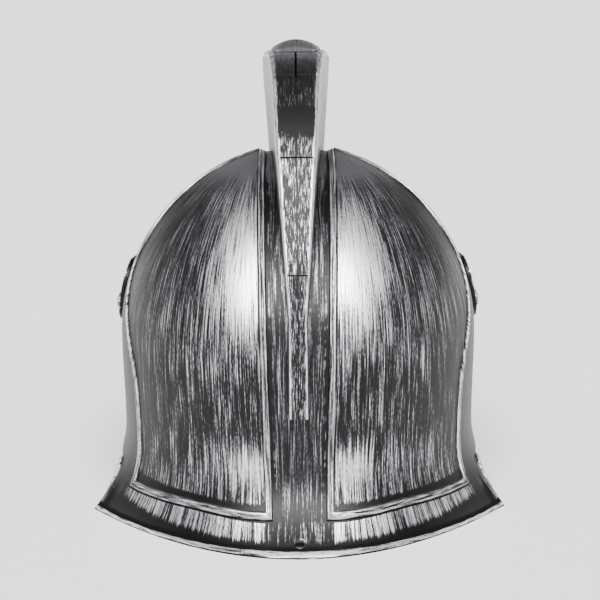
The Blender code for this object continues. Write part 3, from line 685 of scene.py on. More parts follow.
@dataclass(frozen=True)
class Bowl:
    """The skull shell: bowl, neck guard, raised side panels with their beads, and rim band."""

    skin: BowlSkin
    wall: float = 0.002
    side_edge: float = 0.036
    side_top: float = 0.048
    temple_azimuth: float = 112.0
    brow_height: float = 0.118
    guard_root: float = 0.027
    guard_azimuth_root: float = 76.5
    rim_band: float = 0.0023
    rim_rise: float = 0.0014
    hole_diameter: float = 0.0053
    hole_height: float = 0.0054
    bead_rise: float = 0.0012
    bead_dip: float = 0.0003
    panel_rise: float = 0.0012
    panel_azimuth_low: float = 55.5
    panel_azimuth_high: float = 72.0
    panel_step_low: float = 0.072
    panel_step_high: float = 0.148
    border: float = 0.0168
    border_side_lift: float = 0.003
    border_lift_azimuth: float = 30.0
    foot: float = 0.0009
    round_reach: float = 0.110
    # Painted light in the silver, by degrees up the dome or by height: painted highlights on the dome and the
    # neck guard near the nape, which face the light over the camera, and painted shade on the waist between
    # them and on the sides
    dome_painted_highlight: SilverAndPaintedLight = SilverAndPaintedLight(0.64, 32.0, 36.0)
    side_painted_highlight: SilverAndPaintedLight = SilverAndPaintedLight(0.14, 24.0, 24.0)
    waist_painted_shade: SilverAndPaintedLight = SilverAndPaintedLight(-0.17, 0.072, 0.036)
    guard_painted_highlight: SilverAndPaintedLight = SilverAndPaintedLight(0.50, 0.042, 0.020)
    # Silver by the distance from a bead's middle, as a share of its half width: both its shoulders
    bead_glint: SilverAndPaintedLight = SilverAndPaintedLight(0.36, 0.62, 0.3)
    bead_end: float = 0.8
    foot_end_inside: float = 1.25
    foot_end_outside: float = 1.45
    # Bare line above and below the lower border: its width at the nape and at the neck guard's corner
    bare_above: tuple[float, float] = (0.6 * MM, 6.0 * MM)
    bare_below: tuple[float, float] = (1.0 * MM, 5.4 * MM)

    def forward_share(self, height: float) -> float:
        """Share of the borders' step forward that is done at a height."""
        return (height - self.panel_step_low) / (self.panel_step_high - self.panel_step_low)

    def panel_azimuth(self, height: float) -> float:
        """Azimuth of the panel's outer border."""
        return blend(self.panel_azimuth_low, self.panel_azimuth_high, self.forward_share(height))

    def guard_azimuth(self, height: float) -> float:
        """Azimuth of the neck guard's free edge, and above it of the line that carries on from its root."""
        if height < self.guard_root:
            return mix(self.skin.guard_azimuth, self.guard_azimuth_root, height / self.guard_root)
        forward = (self.panel_azimuth_high + self.temple_azimuth) / 2
        return blend(self.guard_azimuth_root, forward, self.forward_share(height))

    def side_height(self, row_height: float, azimuth: float) -> float:
        """Height of a row where the bowl's lower edge climbs from the neck guard's root to the cheek."""
        if not self.guard_root - MERGE < row_height < self.side_top:
            return row_height
        climbed = (azimuth - self.guard_azimuth_root) / (self.skin.cheek_azimuth - self.guard_azimuth_root)
        low = blend(self.guard_root, self.side_edge, climbed)
        return mix(low, self.side_top, (row_height - self.guard_root) / (self.side_top - self.guard_root))

    def turn(self, width: float, height: float) -> float:
        """A width along the bowl's side as an angle in degrees."""
        return math.degrees(width / self.skin.radii(height)[0])

    def spans(self) -> list[Span]:
        """Grid lines of half the bowl, from the nape to the brow."""
        skin, bead, foot = self.skin, self.skin.bead_width, self.foot
        band, start = skin.band_half_width, skin.round_start

        def side(line: Line, width: float) -> Line:
            """A line on the round side, moved by a width."""
            return lambda height: line(height) + self.turn(width, height)

        def fixed(azimuth: float) -> Line:
            """A line at one azimuth."""
            return lambda height: azimuth

        nape, face, around = Section.NAPE_STRIP, Section.FACE_STRIP, Section.ROUND
        inside, outside = side(self.panel_azimuth, -bead / 2), side(self.panel_azimuth, bead / 2)
        inner_foot = side(self.panel_azimuth, -bead / 2 - foot)
        outer_foot = side(self.panel_azimuth, bead / 2 + foot)
        return [
            Span(nape, fixed(0.0), lambda height: band(height) - foot, 8),
            Span(nape, lambda height: band(height) - foot, band, 2),
            Span(nape, band, start, 10),
            Span(around, fixed(0.0), lambda height: self.turn(foot, height), 2),
            Span(around, lambda height: self.turn(foot, height), inner_foot, 40),
            Span(around, inner_foot, inside, 2),
            Span(around, inside, outside, 8),
            Span(around, outside, outer_foot, 1),
            Span(around, outer_foot, side(self.guard_azimuth, -bead / 2), 4),
            Span(around, side(self.guard_azimuth, -bead / 2), self.guard_azimuth, 5),
            Span(around, self.guard_azimuth, fixed(self.temple_azimuth), 12),
            Span(around, fixed(self.temple_azimuth), fixed(180.0), 22),
            Span(face, start, band, 10),
            Span(face, band, lambda height: band(height) - foot, 2),
            Span(face, lambda height: band(height) - foot, fixed(0.0), 8),
        ]

    def heights(self) -> list[float]:
        """Heights of the grid's rows, from the rim to the pole."""
        skin, bead = self.skin, self.skin.bead_width
        rows = steps_of([
            (self.rim_band, 5), (self.rim_band + self.rim_rise, 3), (self.border - bead / 2 - self.foot, 10),
            (self.border - bead / 2, 2), (self.border + bead / 2, 8), (self.border + bead / 2 + self.foot, 2),
            (self.guard_root, 7), (self.side_top, 14), (skin.equator, 22), (self.brow_height, 10),
        ], 0.0)
        rise = skin.pole - skin.equator
        low = math.asin((self.brow_height - skin.equator) / rise)
        count = 36
        turns = [low + (math.pi / 2 - low) * step / count for step in range(1, count + 1)]
        return rows + [skin.equator + rise * math.sin(turn) for turn in turns]

    def lift(self, height: float, azimuth: float) -> float:
        """How far the lower border and what lies near it climb toward the neck guard's corner."""
        low, high = self.border - self.skin.bead_width, self.border + self.skin.bead_width
        if height < low:
            share = (height - self.rim_band - self.rim_rise) / (low - self.rim_band - self.rim_rise)
        else:
            share = (self.guard_root - height) / (self.guard_root - high)
        share = min(max(share, 0.0), 1.0)
        return self.border_side_lift * share * ease(azimuth / self.border_lift_azimuth)

    def inside_panel(self, place: Place, spot: Spot, height: float, row_height: float) -> float:
        """Distance from the nearest border line of the panel, positive inside it."""
        if place.section is Section.FACE_STRIP:
            return -1.0
        line = self.skin.band_half_width(height) + self.skin.bead_width / 2
        beside = spot.point.x - line
        low = row_height - self.border
        if place.section is Section.NAPE_STRIP:
            fade = self.skin.bead_width * (1 - ease(spot.point.y / (2 * self.skin.bead_width)))
            return min(beside, low) - fade
        ahead = math.radians(self.panel_azimuth(height) - place.azimuth)
        return min(beside, low, ahead * max(spot.speed, self.skin.bead_width))

    def relief(self, inside: float, edge: float, height: float) -> float:
        """How far the raised work stands off the plain skin.

        Args:
            inside: Distance from the panel's border line, positive inside.
            edge: Distance from the neck guard's free edge.
            height: Height of the grid's row.

        Returns:
            The rise.
        """
        share = inside / (self.skin.bead_width / 2)
        top = self.panel_rise + self.bead_rise
        rise = 0.0
        if share >= 1:
            rise = self.panel_rise
        elif share > 0.6:
            rise = mix(top, self.panel_rise, ease((share - 0.6) / 0.4))
        elif share >= -0.6:
            rise = top - self.bead_dip * bump(share, 0.0, 0.5)
        elif share > -1:
            rise = top * ease((share + 1) / 0.4)
        if height < self.guard_root:
            free = self.bead_rise * ease((self.skin.bead_width / 2 - edge) / (0.6 * MM))
            rise = max(rise, free * ease((self.guard_root - height) / (6 * MM)))
        rim = self.rim_rise * (1 - ease((height - self.rim_band) / self.rim_rise))
        return max(rise, rim * (1 - 0.3 * ease(1 - height / self.rim_rise) ** 2))

    def plain_coat(self, cell: Cell, climb: float, top: float) -> Coat:
        """Silver between the raised lines, with painted highlights and painted shade.

        Args:
            cell: The corner.
            climb: Its degrees up the dome.
            top: How far it counts as the top of the dome, from 0 to 1.

        Returns:
            The paint of the panel, of the plain band or of the strip beyond the panel.
        """
        height, azimuth = cell.height, cell.place.azimuth
        # Each step gives degrees from the nape or metres of height, and then the run over which it is done
        side = past(azimuth, 24, 40)
        if cell.inside < -self.skin.bead_width / 2:
            if cell.place.section is Section.NAPE_STRIP:
                silver = mix(-0.17 - 0.12 * ease((0.036 - height) / 0.02), -0.04, top)
                return Coat(silver, max(0.5 * side * past(height, 0.05, 0.05), 0.9 * top, 0.45))
            forward = past(azimuth - self.panel_azimuth(height), 6, 14) * past(height, 0.10, 0.03)
            return Coat(mix(-0.48, -0.10, forward), 0.35)
        # Painted highlight on the dome near the nape, where it faces the light over the camera, and painted
        # shade on the waist below it, which faces down
        silver = -0.16 + self.dome_painted_highlight.at(climb) * (1 - past(azimuth, 8, 22)) + self.waist_painted_shade.at(height)
        # Painted highlight on the neck guard's flare near the nape, which turns up toward the light
        silver += self.guard_painted_highlight.at(height) * (1 - past(azimuth, 3, 20))
        # Painted shade on the sides, which turn away from the light, with a weak painted highlight 24 degrees
        # up the dome
        silver += side * (self.side_painted_highlight.at(climb) - 0.12)
        return Coat(mix(silver, 0.02, top), max(0.5 * side * past(height, 0.05, 0.05), 0.9 * top))

    def coat(self, cell: Cell) -> Coat:
        """Silver at a corner of the bowl, with the painted highlights and painted shade of the plain parts.

        Args:
            cell: The corner.

        Returns:
            The paint there.
        """
        skin, half_bead = self.skin, self.skin.bead_width / 2
        azimuth, row_height, inside = cell.place.azimuth, cell.row_height, cell.inside
        dome_share = (cell.height - skin.equator) / (skin.pole - skin.equator)
        climb = math.degrees(math.asin(min(max(dome_share, 0.0), 1.0)))
        top = past(climb, 52, 16)
        silver, even = self.plain_coat(cell, climb, top)
        corner = min(azimuth / self.panel_azimuth_low, 1.0) ** 2
        # The brush skips the hollow above the lower border, and again above the rim band
        if row_height > self.border and inside > half_bead:
            bare = mix(*self.bare_above, corner)
            silver -= 1.1 * (1 - ease((row_height - self.border - half_bead - bare + 1 * MM) / (5 * MM)))
        rim_top = self.rim_band + self.rim_rise
        if rim_top <= row_height < self.border - half_bead and azimuth < 90:
            bare = mix(*self.bare_below, corner)
            if cell.place.section is Section.ROUND:
                silver = mix(0.14, silver, past(azimuth - self.panel_azimuth(cell.height), 1, 3))
            silver = mix(-0.9, silver, ease((row_height - rim_top - bare + 1 * MM) / (3.4 * MM)))
            even = 0.0
        # Beads catch silver on both shoulders, more crisply at the back, and their feet stay bare
        share, crisp = abs(inside) / half_bead, 1 - 0.5 * top
        if share < self.bead_end:
            silver, even = 0.04 + self.bead_glint.at(share) * crisp, 0.25 + 0.4 * top
        elif share < (self.foot_end_inside if inside > 0 else self.foot_end_outside):
            depth = -0.3 if inside > 0 else -0.8
            silver, even = mix(0.1, depth, past(share, self.bead_end, 0.2)) * crisp, 0.3
        # The free edge and the rim band were brushed along, over a bare line
        if cell.height < self.guard_root and cell.edge < half_bead:
            silver, even = 0.30, 0.3
        if row_height <= self.rim_band + 0.2 * MM:
            silver, even = (0.32 if row_height > 0.5 * MM else -0.5), 0.0
        elif row_height < rim_top + 0.5 * MM:
            silver, even = -0.8, 0.2
        return Coat(silver, even)

    def build(self, rosettes: "Rosettes") -> bpy.types.Object:
        """Builds the skull shell.

        Args:
            rosettes: Temple rosettes, whose stems pass through the wall.

        Returns:
            The dressed piece.
        """
        spans, rows = self.spans(), self.heights()
        lines = lines_of(spans)
        edge_line = sum(span.cells for span in spans[:10])
        temple_line = edge_line + spans[10].cells
        runs = [0.0]
        for low, high in zip(rows, rows[1:]):
            runs.append(runs[-1] + math.hypot(high - low, self.skin.radii(high)[1] - self.skin.radii(low)[1]))
        start = self.skin.round_start(0.0)

        def kept(column: int, row: int) -> bool:
            """Whether the bowl has this cell: not in the face opening, nor beside the neck guard."""
            if rows[row] < self.guard_root - MERGE:
                return column < edge_line
            return column < temple_line or rows[row] > self.brow_height - MERGE

        def corner(column: int, row: int) -> Corner:
            """One corner of the bowl."""
            row_height = rows[row]
            place = lines[column](row_height)
            height = self.side_height(row_height, place.azimuth) + self.lift(row_height, place.azimuth)
            place = lines[column](height)
            spot = self.skin.spot(place, height)
            inside = self.inside_panel(place, spot, height, row_height)
            edge = 1.0
            if place.section is Section.ROUND and column <= edge_line:
                edge = math.radians(self.guard_azimuth(height) - place.azimuth) * spot.speed
            outward = spot.outward()
            if place.section is Section.ROUND:
                reach = start + math.radians(place.azimuth) * self.round_reach
            else:
                reach = place.across / self.skin.round_start(height) * start
                if place.section is Section.FACE_STRIP:
                    reach = 2 * start + math.pi * self.round_reach - reach
            # The hand follows the rim and the lower border, and runs up the rest of the bowl
            level_stroke = row_height < self.rim_band + self.rim_rise or (
                abs(inside) < 0.6 * self.skin.bead_width and inside == row_height - self.border
            )
            return Corner(
                spot.point + outward * self.relief(inside, edge, row_height),
                spot.point - outward * self.wall,
                Vector((runs[row], 2.4 * reach, 17.0)) if level_stroke else Vector((reach, runs[row], 0.0)),
                self.coat(Cell(place, spot, height, row_height, inside, edge)),
            )

        wall = Wall(len(lines) - 1, len(rows) - 1, kept)
        wall.place(corner)
        wall.mirror()
        wall.thicken()
        piece = wall.finish("skull_shell_brushed")
        rim = self.skin.spot(Place(Section.NAPE_STRIP, 0.0, 0.0), self.hole_height)
        drill(piece, rim.point, rim.normal, self.hole_diameter / 2, 6 * self.wall)
        rosettes.drill_seats(piece, self.wall)
        return dress(piece, "skull_shell", BOWL_FINISH)


@dataclass(frozen=True)
class FacePlate:
    """The visor: almond eyes, nasal, mouth slot, brow roll and rounded temple tabs."""

    skin: FaceSkin
    wall: float = 0.0018
    clearance: float = 0.0009
    top: float = 0.134
    keel: float = 0.006
    tab_azimuth: float = 90.0
    cheek_azimuth: float = 102.0
    tab_low: float = 0.099
    tab_rounding: float = 5.0
    cheek_lift: float = 0.034
    brow_rise: float = 0.0035
    brow_fade: float = 30.0
    brow_share: float = 0.62
    brow_reach: float = 0.32
    lip_rise: float = 0.0012
    hem_rise: float = 0.0005
    lip_width: float = 0.0028
    nasal_half_width: float = 0.0085
    slot_half_width: float = 0.016
    nasal_tip: float = 0.058
    eye_low: float = 0.084
    eye_high: float = 0.104
    eye_corner: float = 0.095
    eye_corner_azimuth: float = 152.0
    eye_rim: float = 0.0016
    cheek_spread: float = 0.55
    round_reach: float = 0.110
    hem_width: float = 2.4 * MM
    # Silver by height and by the share of the way from the eyes to the plate's top
    chin_glint: SilverAndPaintedLight = SilverAndPaintedLight(0.14, 0.03, 0.03)
    brow_shade: SilverAndPaintedLight = SilverAndPaintedLight(-0.35, 0.22, 0.14)

    def spans(self) -> list[Span]:
        """Grid lines of half the face plate, from its middle to the tab's end."""
        middle = 2 * (1 / (self.top - self.tab_low))

        def nasal(height: float) -> float:
            """Half width of the nasal."""
            return self.nasal_half_width * blend(0.7, 1.1, height / self.eye_high)

        def tab_end(height: float) -> float:
            """Azimuth of the tab's rounded end."""
            off_middle = middle * (height - self.tab_low) - 1
            return self.tab_azimuth + self.tab_rounding * min(off_middle * off_middle, 1.0) ** 2

        def fixed(value: float) -> Line:
            """A line at one distance or azimuth."""
            return lambda height: value

        face, around = Section.FACE_STRIP, Section.ROUND
        return [
            Span(face, fixed(0.0), nasal, 8),
            Span(face, nasal, fixed(self.slot_half_width), 7),
            Span(face, fixed(self.slot_half_width), self.skin.round_start, 5),
            Span(around, fixed(180.0), fixed(self.eye_corner_azimuth), 34),
            Span(around, fixed(self.eye_corner_azimuth), fixed(self.cheek_azimuth), 44),
            Span(around, fixed(self.cheek_azimuth), tab_end, 12),
        ]

    def row_heights(self, azimuth: float) -> list[tuple[float, int]]:
        """Ends of the face plate's stretches of rows at an azimuth, with their cells, and the chin first."""
        forward = (180 - azimuth) / (180 - self.eye_corner_azimuth)
        rearward = (self.eye_corner_azimuth - azimuth) / (self.eye_corner_azimuth - self.cheek_azimuth)
        rearward = min(max(rearward, 0.0), 1.0)
        chin = self.cheek_lift * rearward ** 2
        near = ease(1 - forward * forward) if azimuth > self.eye_corner_azimuth else 0.0
        opening = max(near, self.cheek_spread * ease(rearward))
        low = self.eye_corner + (self.eye_low - self.eye_corner) * opening - self.eye_rim
        high = self.eye_corner + (self.eye_high - self.eye_corner) * opening + self.eye_rim
        high = blend(high, self.tab_low, 2 * rearward - 1)
        tip = max(self.nasal_tip, chin + 4 * self.eye_rim)
        return [(chin, 0), (tip, 26), (low, 16), (high, 12), (self.top, 22)]

    def build(self, rosettes: "Rosettes") -> bpy.types.Object:
        """Builds the face plate.

        Args:
            rosettes: Temple rosettes, whose stems pass through the wall.

        Returns:
            The dressed piece.
        """
        spans = self.spans()
        lines = lines_of(spans)
        ends = [sum(span.cells for span in spans[:number + 1]) for number in range(len(spans))]
        nasal_line, slot_line, _, eye_line, cheek_line, _ = ends
        stretches = [cells for _, cells in self.row_heights(180.0)]
        tip_row = stretches[1]
        low_row = tip_row + stretches[2]
        high_row = low_row + stretches[3]
        top_row = high_row + stretches[4]

        def kept(column: int, row: int) -> bool:
            """Whether the face plate has this cell."""
            if column >= cheek_line:
                return row >= high_row
            if nasal_line <= column < eye_line and low_row <= row < high_row:
                return False
            if column < slot_line and row < tip_row:
                return False
            return not (nasal_line <= column < slot_line and row < low_row)

        def placed(column: int, row: int) -> tuple[Place, float, float]:
            """Place, height and share of the stretch above the eyes for a corner."""
            azimuth = max(lines[column](self.eye_high).azimuth, self.cheek_azimuth)
            marks = self.row_heights(azimuth)
            height = steps_of(marks[1:], marks[0][0])[row]
            share = (row - high_row) / (top_row - high_row)
            return lines[column](height), height, share

        lips: dict[tuple[int, int], float] = {}

        def corner(column: int, row: int) -> Corner:
            """One corner of the face plate."""
            place, height, share = placed(column, row)
            spot = self.skin.spot(place, height)
            keel = self.keel * (1 - ease(spot.point.x / (3 * self.slot_half_width)))
            fade = past(place.azimuth, self.cheek_azimuth, self.brow_fade)
            brow = bump(share, self.brow_share, self.brow_reach) * fade
            lip = lips.get((column, row), 0.0)
            rise = self.clearance + self.wall + keel + max(brow * self.brow_rise, lip)
            outward = spot.outward()
            silver = 0.02 + 0.34 * brow ** 2 + 0.10 * keel / self.keel + self.chin_glint.at(height)
            if 0.3 * MM < lip:
                silver += 0.42 * ease(lip / self.hem_rise - 0.4)
            else:
                silver -= 0.12 * (1 - brow)
            if share > 0:
                silver += self.brow_shade.at(share) * fade
            if place.section is Section.ROUND:
                reach = math.radians(180 - place.azimuth) * self.round_reach + self.skin.round_start(0.0)
            else:
                reach = place.across
            return Corner(
                spot.point + outward * rise,
                spot.point + outward * (self.clearance + keel),
                Vector((reach, height, 3.0)),
                Coat(silver, 0.35 * ease((140 - place.azimuth) / 40)),
            )

        wall = Wall(len(lines) - 1, top_row, kept)
        wall.place(corner)
        around_hole, hem = [], []
        for vert in wall.mesh.verts:
            if vert.is_boundary and vert.co.x > MERGE:
                column, row = vert[wall.column], vert[wall.row]
                inner_edge = 0 < row < top_row and column <= eye_line
                (around_hole if inner_edge else hem).append(vert.co.copy())
        edges = ((around_hole, self.lip_rise, self.lip_width), (hem, self.hem_rise, self.hem_width))
        for points, rise, width in edges:
            tree = kdtree.KDTree(len(points))
            for number, point in enumerate(points):
                tree.insert(point, number)
            tree.balance()
            for vert in wall.mesh.verts:
                distance = tree.find(vert.co)[2]
                worn = 1 - 0.35 * ease(1 - distance / (0.8 * MM))
                key = (vert[wall.column], vert[wall.row])
                lips[key] = max(lips.get(key, 0.0), rise * ease((width - distance) / (0.4 * width)) * worn)
        wall.place(corner)
        wall.mirror()
        wall.thicken()
        piece = wall.finish("visor_brushed")
        rosettes.drill_seats(piece, self.wall)
        return dress(piece, "visor", FACE_FINISH)


class Station(NamedTuple):
    """A row of the crest's table: an angle, then shares of the crest's height and width."""

    angle: float
    height: float
    ridge: float
    base: float


class Groove(NamedTuple):
    """A moulded line across the crest's ridge, with its depth as a share of the full depth."""

    angle: float
    depth: float


class Stroke(NamedTuple):
    """Paint along the crest's ridge at an angle."""

    angle: float
    silver: float
    even: float


@dataclass(frozen=True)
class CrestFrame:
    """One cut through the crest: its base and ridge in the middle plane and its outward direction."""

    angle: float
    base: Vector
    ridge: Vector
    out: Vector
    run: float


@dataclass(frozen=True)
class Crest:
    """The tall wedge crest: two hollow mouldings glued along the middle, and a crowned cap."""

    skin: BowlSkin
    height: float = 0.058
    width: float = 0.042
    wall: float = 0.0018
    rounding: float = 0.085
    rear_angle: float = -14.0
    front_angle: float = 156.0
    groove_width: float = 0.0010
    groove_depth: float = 0.0009
    seam_width: float = 0.0005
    gap: float = 0.0003
    cap_rear: float = 84.0
    cap_front: float = 146.0
    cap_crown: float = 0.0059
    cap_edge: float = 0.0012
    cap_margin: float = 0.0012
    cap_rear_share: float = 0.55
    cap_rear_run: float = 18.0
    cap_front_share: float = 0.15
    cap_front_run: float = 24.0
    seam: tuple[float, float] = (72.0, 82.5)
    stations: tuple[Station, ...] = (
        Station(-14, 0.085, 0.235, 0.265), Station(14, 0.15, 0.22, 0.255), Station(20, 0.175, 0.26, 0.29),
        Station(42, 0.38, 0.42, 0.43), Station(57, 0.64, 0.54, 0.52), Station(72, 0.92, 0.63, 0.60),
        Station(84, 1.0, 0.73, 0.68), Station(100, 1.0, 0.95, 0.76), Station(116, 0.97, 0.96, 0.78),
        Station(132, 0.88, 0.85, 0.75), Station(144, 0.70, 0.80, 0.71), Station(151, 0.44, 0.76, 0.67),
        Station(156, 0.085, 0.70, 0.64),
    )
    grooves: tuple[Groove, ...] = (Groove(25, 0.5), Groove(52, 0.5), Groove(72, 1.0), Groove(82.5, 1.0))
    strokes: tuple[Stroke, ...] = (
        Stroke(-14, -0.12, 0.0), Stroke(8, -0.22, 0.0), Stroke(24, -0.22, 0.0), Stroke(38, -0.24, 0.0),
        Stroke(44, -0.20, 0.0), Stroke(56, -0.12, 0.0), Stroke(58.5, -0.75, 0.0), Stroke(62, -0.8, 0.0),
        Stroke(64, -0.26, 0.4), Stroke(71, -0.30, 0.6), Stroke(73, -0.28, 0.85), Stroke(79, -0.12, 0.9),
        Stroke(82, 0.02, 0.9), Stroke(96, 0.0, 0.4), Stroke(156, 0.0, 0.1),
    )

    def sizes(self, angle: float) -> tuple[float, float, float]:
        """Height, ridge width and base width at an angle."""
        rise, ridge, base = between(self.stations, angle)
        return self.height * rise, self.width * ridge, self.width * base

    def paint(self, angle: float) -> Coat:
        """Paint on the ridge at an angle."""
        return Coat(*between(self.strokes, angle))

    def groove_half(self) -> float:
        """Half a groove's width as an angle at the ridge."""
        return math.degrees(self.groove_width / 2 / (self.skin.dome_rise + self.height))

    def groove_dip(self, angle: float) -> float:
        """Depth of the ridge's grooves at an angle."""
        half = self.groove_half()
        return max(line.depth * self.groove_depth * bump(angle, line.angle, half) for line in self.grooves)

    def frames(self) -> list[CrestFrame]:
        """Cuts along the crest, closer together at the grooves."""
        count, half = 150, self.groove_half()
        span = self.front_angle - self.rear_angle
        angles = [self.rear_angle + span * step / count for step in range(count + 1)]
        for groove in self.grooves:
            angles = [angle for angle in angles if abs(angle - groove.angle) > 2 * half]
            angles += [groove.angle + half * share for share in (-1.6, -1, -0.6, -0.3, 0, 0.3, 0.6, 1, 1.6)]
        angles.sort()
        rise = self.skin.pole - self.skin.equator
        points = []
        for angle in angles:
            section = Section.NAPE_STRIP if angle < 90 else Section.FACE_STRIP
            height = self.skin.equator + rise * math.sin(math.radians(angle))
            spot = self.skin.spot(Place(section, 0.0, 0.0), height)
            points.append((spot.point + spot.normal * self.gap,
                           spot.point + spot.normal * (self.gap + self.sizes(angle)[0])))
        frames, run = [], 0.0
        for number, (base, ridge) in enumerate(points):
            before, after = points[max(number - 1, 0)][1], points[min(number + 1, len(points) - 1)][1]
            along = (after - before).normalized()
            run += (ridge - before).length
            frames.append(CrestFrame(angles[number], base, ridge, Vector((0, along.z, -along.y)), run))
        return frames

    def half(self, side: Side) -> bpy.types.Object:
        """Builds one hollow half of the crest.

        Args:
            side: The wearer's side that it stands on.

        Returns:
            The dressed piece.
        """
        frames = self.frames()
        sign, top_cells, round_cells, flank_cells = side.value, 16, 6, 22
        columns = top_cells + round_cells + flank_cells

        def corner(column: int, row: int) -> Corner:
            """One corner of the half, from the seam over the rounded edge and down the flank."""
            cut = frames[row]
            rise, ridge_width, base_width = self.sizes(cut.angle)
            half_ridge, half_base = ridge_width / 2, base_width / 2
            radius = self.rounding * ridge_width
            seamed = self.seam[0] - 0.5 < cut.angle < self.seam[1] + 1.2
            seam = self.gap / 2 if seamed else self.gap / 20
            paint = self.paint(cut.angle)
            dip = self.groove_dip(cut.angle)
            lowest = cut.ridge - cut.out * (self.wall + self.groove_depth)
            # The hand runs along the ridge and up the flanks
            on_flank = column > top_cells + round_cells
            if column <= top_cells:
                share = column / top_cells
                across = seam + (half_ridge - radius - seam) * share ** 1.6
                split = self.groove_depth * ease(1 - (across - seam) / self.seam_width) if seamed else 0.0
                outer = cut.ridge - cut.out * max(dip, split)
                inner = (min(across, half_ridge - self.wall - radius), lowest)
                silver, even = paint
                reach = across
                if max(dip, split) > 0.1 * self.groove_depth:
                    silver = -0.8
                if not seamed:
                    silver -= 0.6 * ease(1 - (across - seam) / self.seam_width)
                silver += 0.45 * past(across, half_ridge - radius - 0.6 * MM, 0.6 * MM) * (1 - even * 0.6)
            elif not on_flank:
                turn = (column - top_cells) / round_cells * math.pi / 2
                across = half_ridge - radius + radius * math.sin(turn)
                outer = cut.ridge - cut.out * max(radius * (1 - math.cos(turn)), dip * math.cos(turn))
                inner = (half_ridge - self.wall - radius * math.cos(turn), lowest)
                silver, even = 0.40 - 0.5 * max(paint.even - 0.6, 0.0), 0.25
                reach = half_ridge - radius + radius * turn
            else:
                share = ((column - top_cells - round_cells) / flank_cells) ** 1.5
                across = mix(half_ridge, half_base, share)
                outer = (cut.ridge - cut.out * radius).lerp(cut.base, share)
                low = lowest - cut.out * radius / 2
                inner = (across - self.wall, low.lerp(cut.base, share))
                silver, even = 0.16 - 0.26 * share, 0.75 - 0.35 * share
                reach = half_ridge + radius * 0.6 + rise * share
            # A thin wall has no room for its inner face where the crest runs out, so that face rises there
            inner_across, inner_point = max(inner[0], seam), inner[1]
            if (inner_point - cut.base).dot(cut.out) < 0:
                inner_point = cut.base.copy()
            return Corner(
                Vector((sign * across, outer.y, outer.z)),
                Vector((sign * inner_across, inner_point.y, inner_point.z)),
                Vector((cut.run, reach, 9.0 + sign)) if on_flank else Vector((sign * reach, cut.run, 7.0)),
                Coat(silver, even),
            )

        wall = Wall(columns, len(frames) - 1, lambda column, row: True)
        wall.place(corner)
        wall.thicken()
        return dress(wall.finish(f"crest_{side.word}_brushed"), f"crest_{side.word}", CREST_FINISH)

    def cap(self) -> bpy.types.Object:
        """Builds and dresses the crowned strip along the ridge."""
        frames = [cut for cut in self.frames() if self.cap_rear < cut.angle < self.cap_front]
        columns = 28

        def corner(column: int, row: int) -> Corner:
            """One corner of the cap."""
            cut = frames[row]
            ridge_width = self.sizes(cut.angle)[1]
            half = ridge_width / 2 - self.rounding * ridge_width - self.cap_margin
            share = -math.cos(math.pi * column / columns)
            rear = self.cap_rear_share + (cut.angle - self.cap_rear) / self.cap_rear_run
            front = self.cap_front_share + (self.cap_front - cut.angle) / self.cap_front_run
            fade = min(rear, front, 1.0)
            edge = ease((1 - abs(share)) / 0.05)
            ends = ease(min(row, len(frames) - 1 - row) / 2 + 0.4)
            crown = self.cap_edge + (self.cap_crown - self.cap_edge) * fade * (1 - share * share)
            rise = self.gap + crown * mix(0.45, 1.0, min(edge, ends))
            outer = cut.ridge + cut.out * rise
            inner = cut.ridge + cut.out * self.gap
            silver = 0.02 + 0.18 * bump(abs(share), 0.86, 0.14)
            return Corner(
                Vector((half * share, outer.y, outer.z)),
                Vector((half * share, inner.y, inner.z)),
                Vector((half * share, cut.run, 11.0)),
                Coat(silver, 0.72),
            )

        wall = Wall(columns, len(frames) - 1, lambda column, row: True)
        wall.place(corner)
        wall.thicken(bare_inside=False)
        return dress(wall.finish("crest_cap_grey"), "crest_cap", CAP_FINISH)


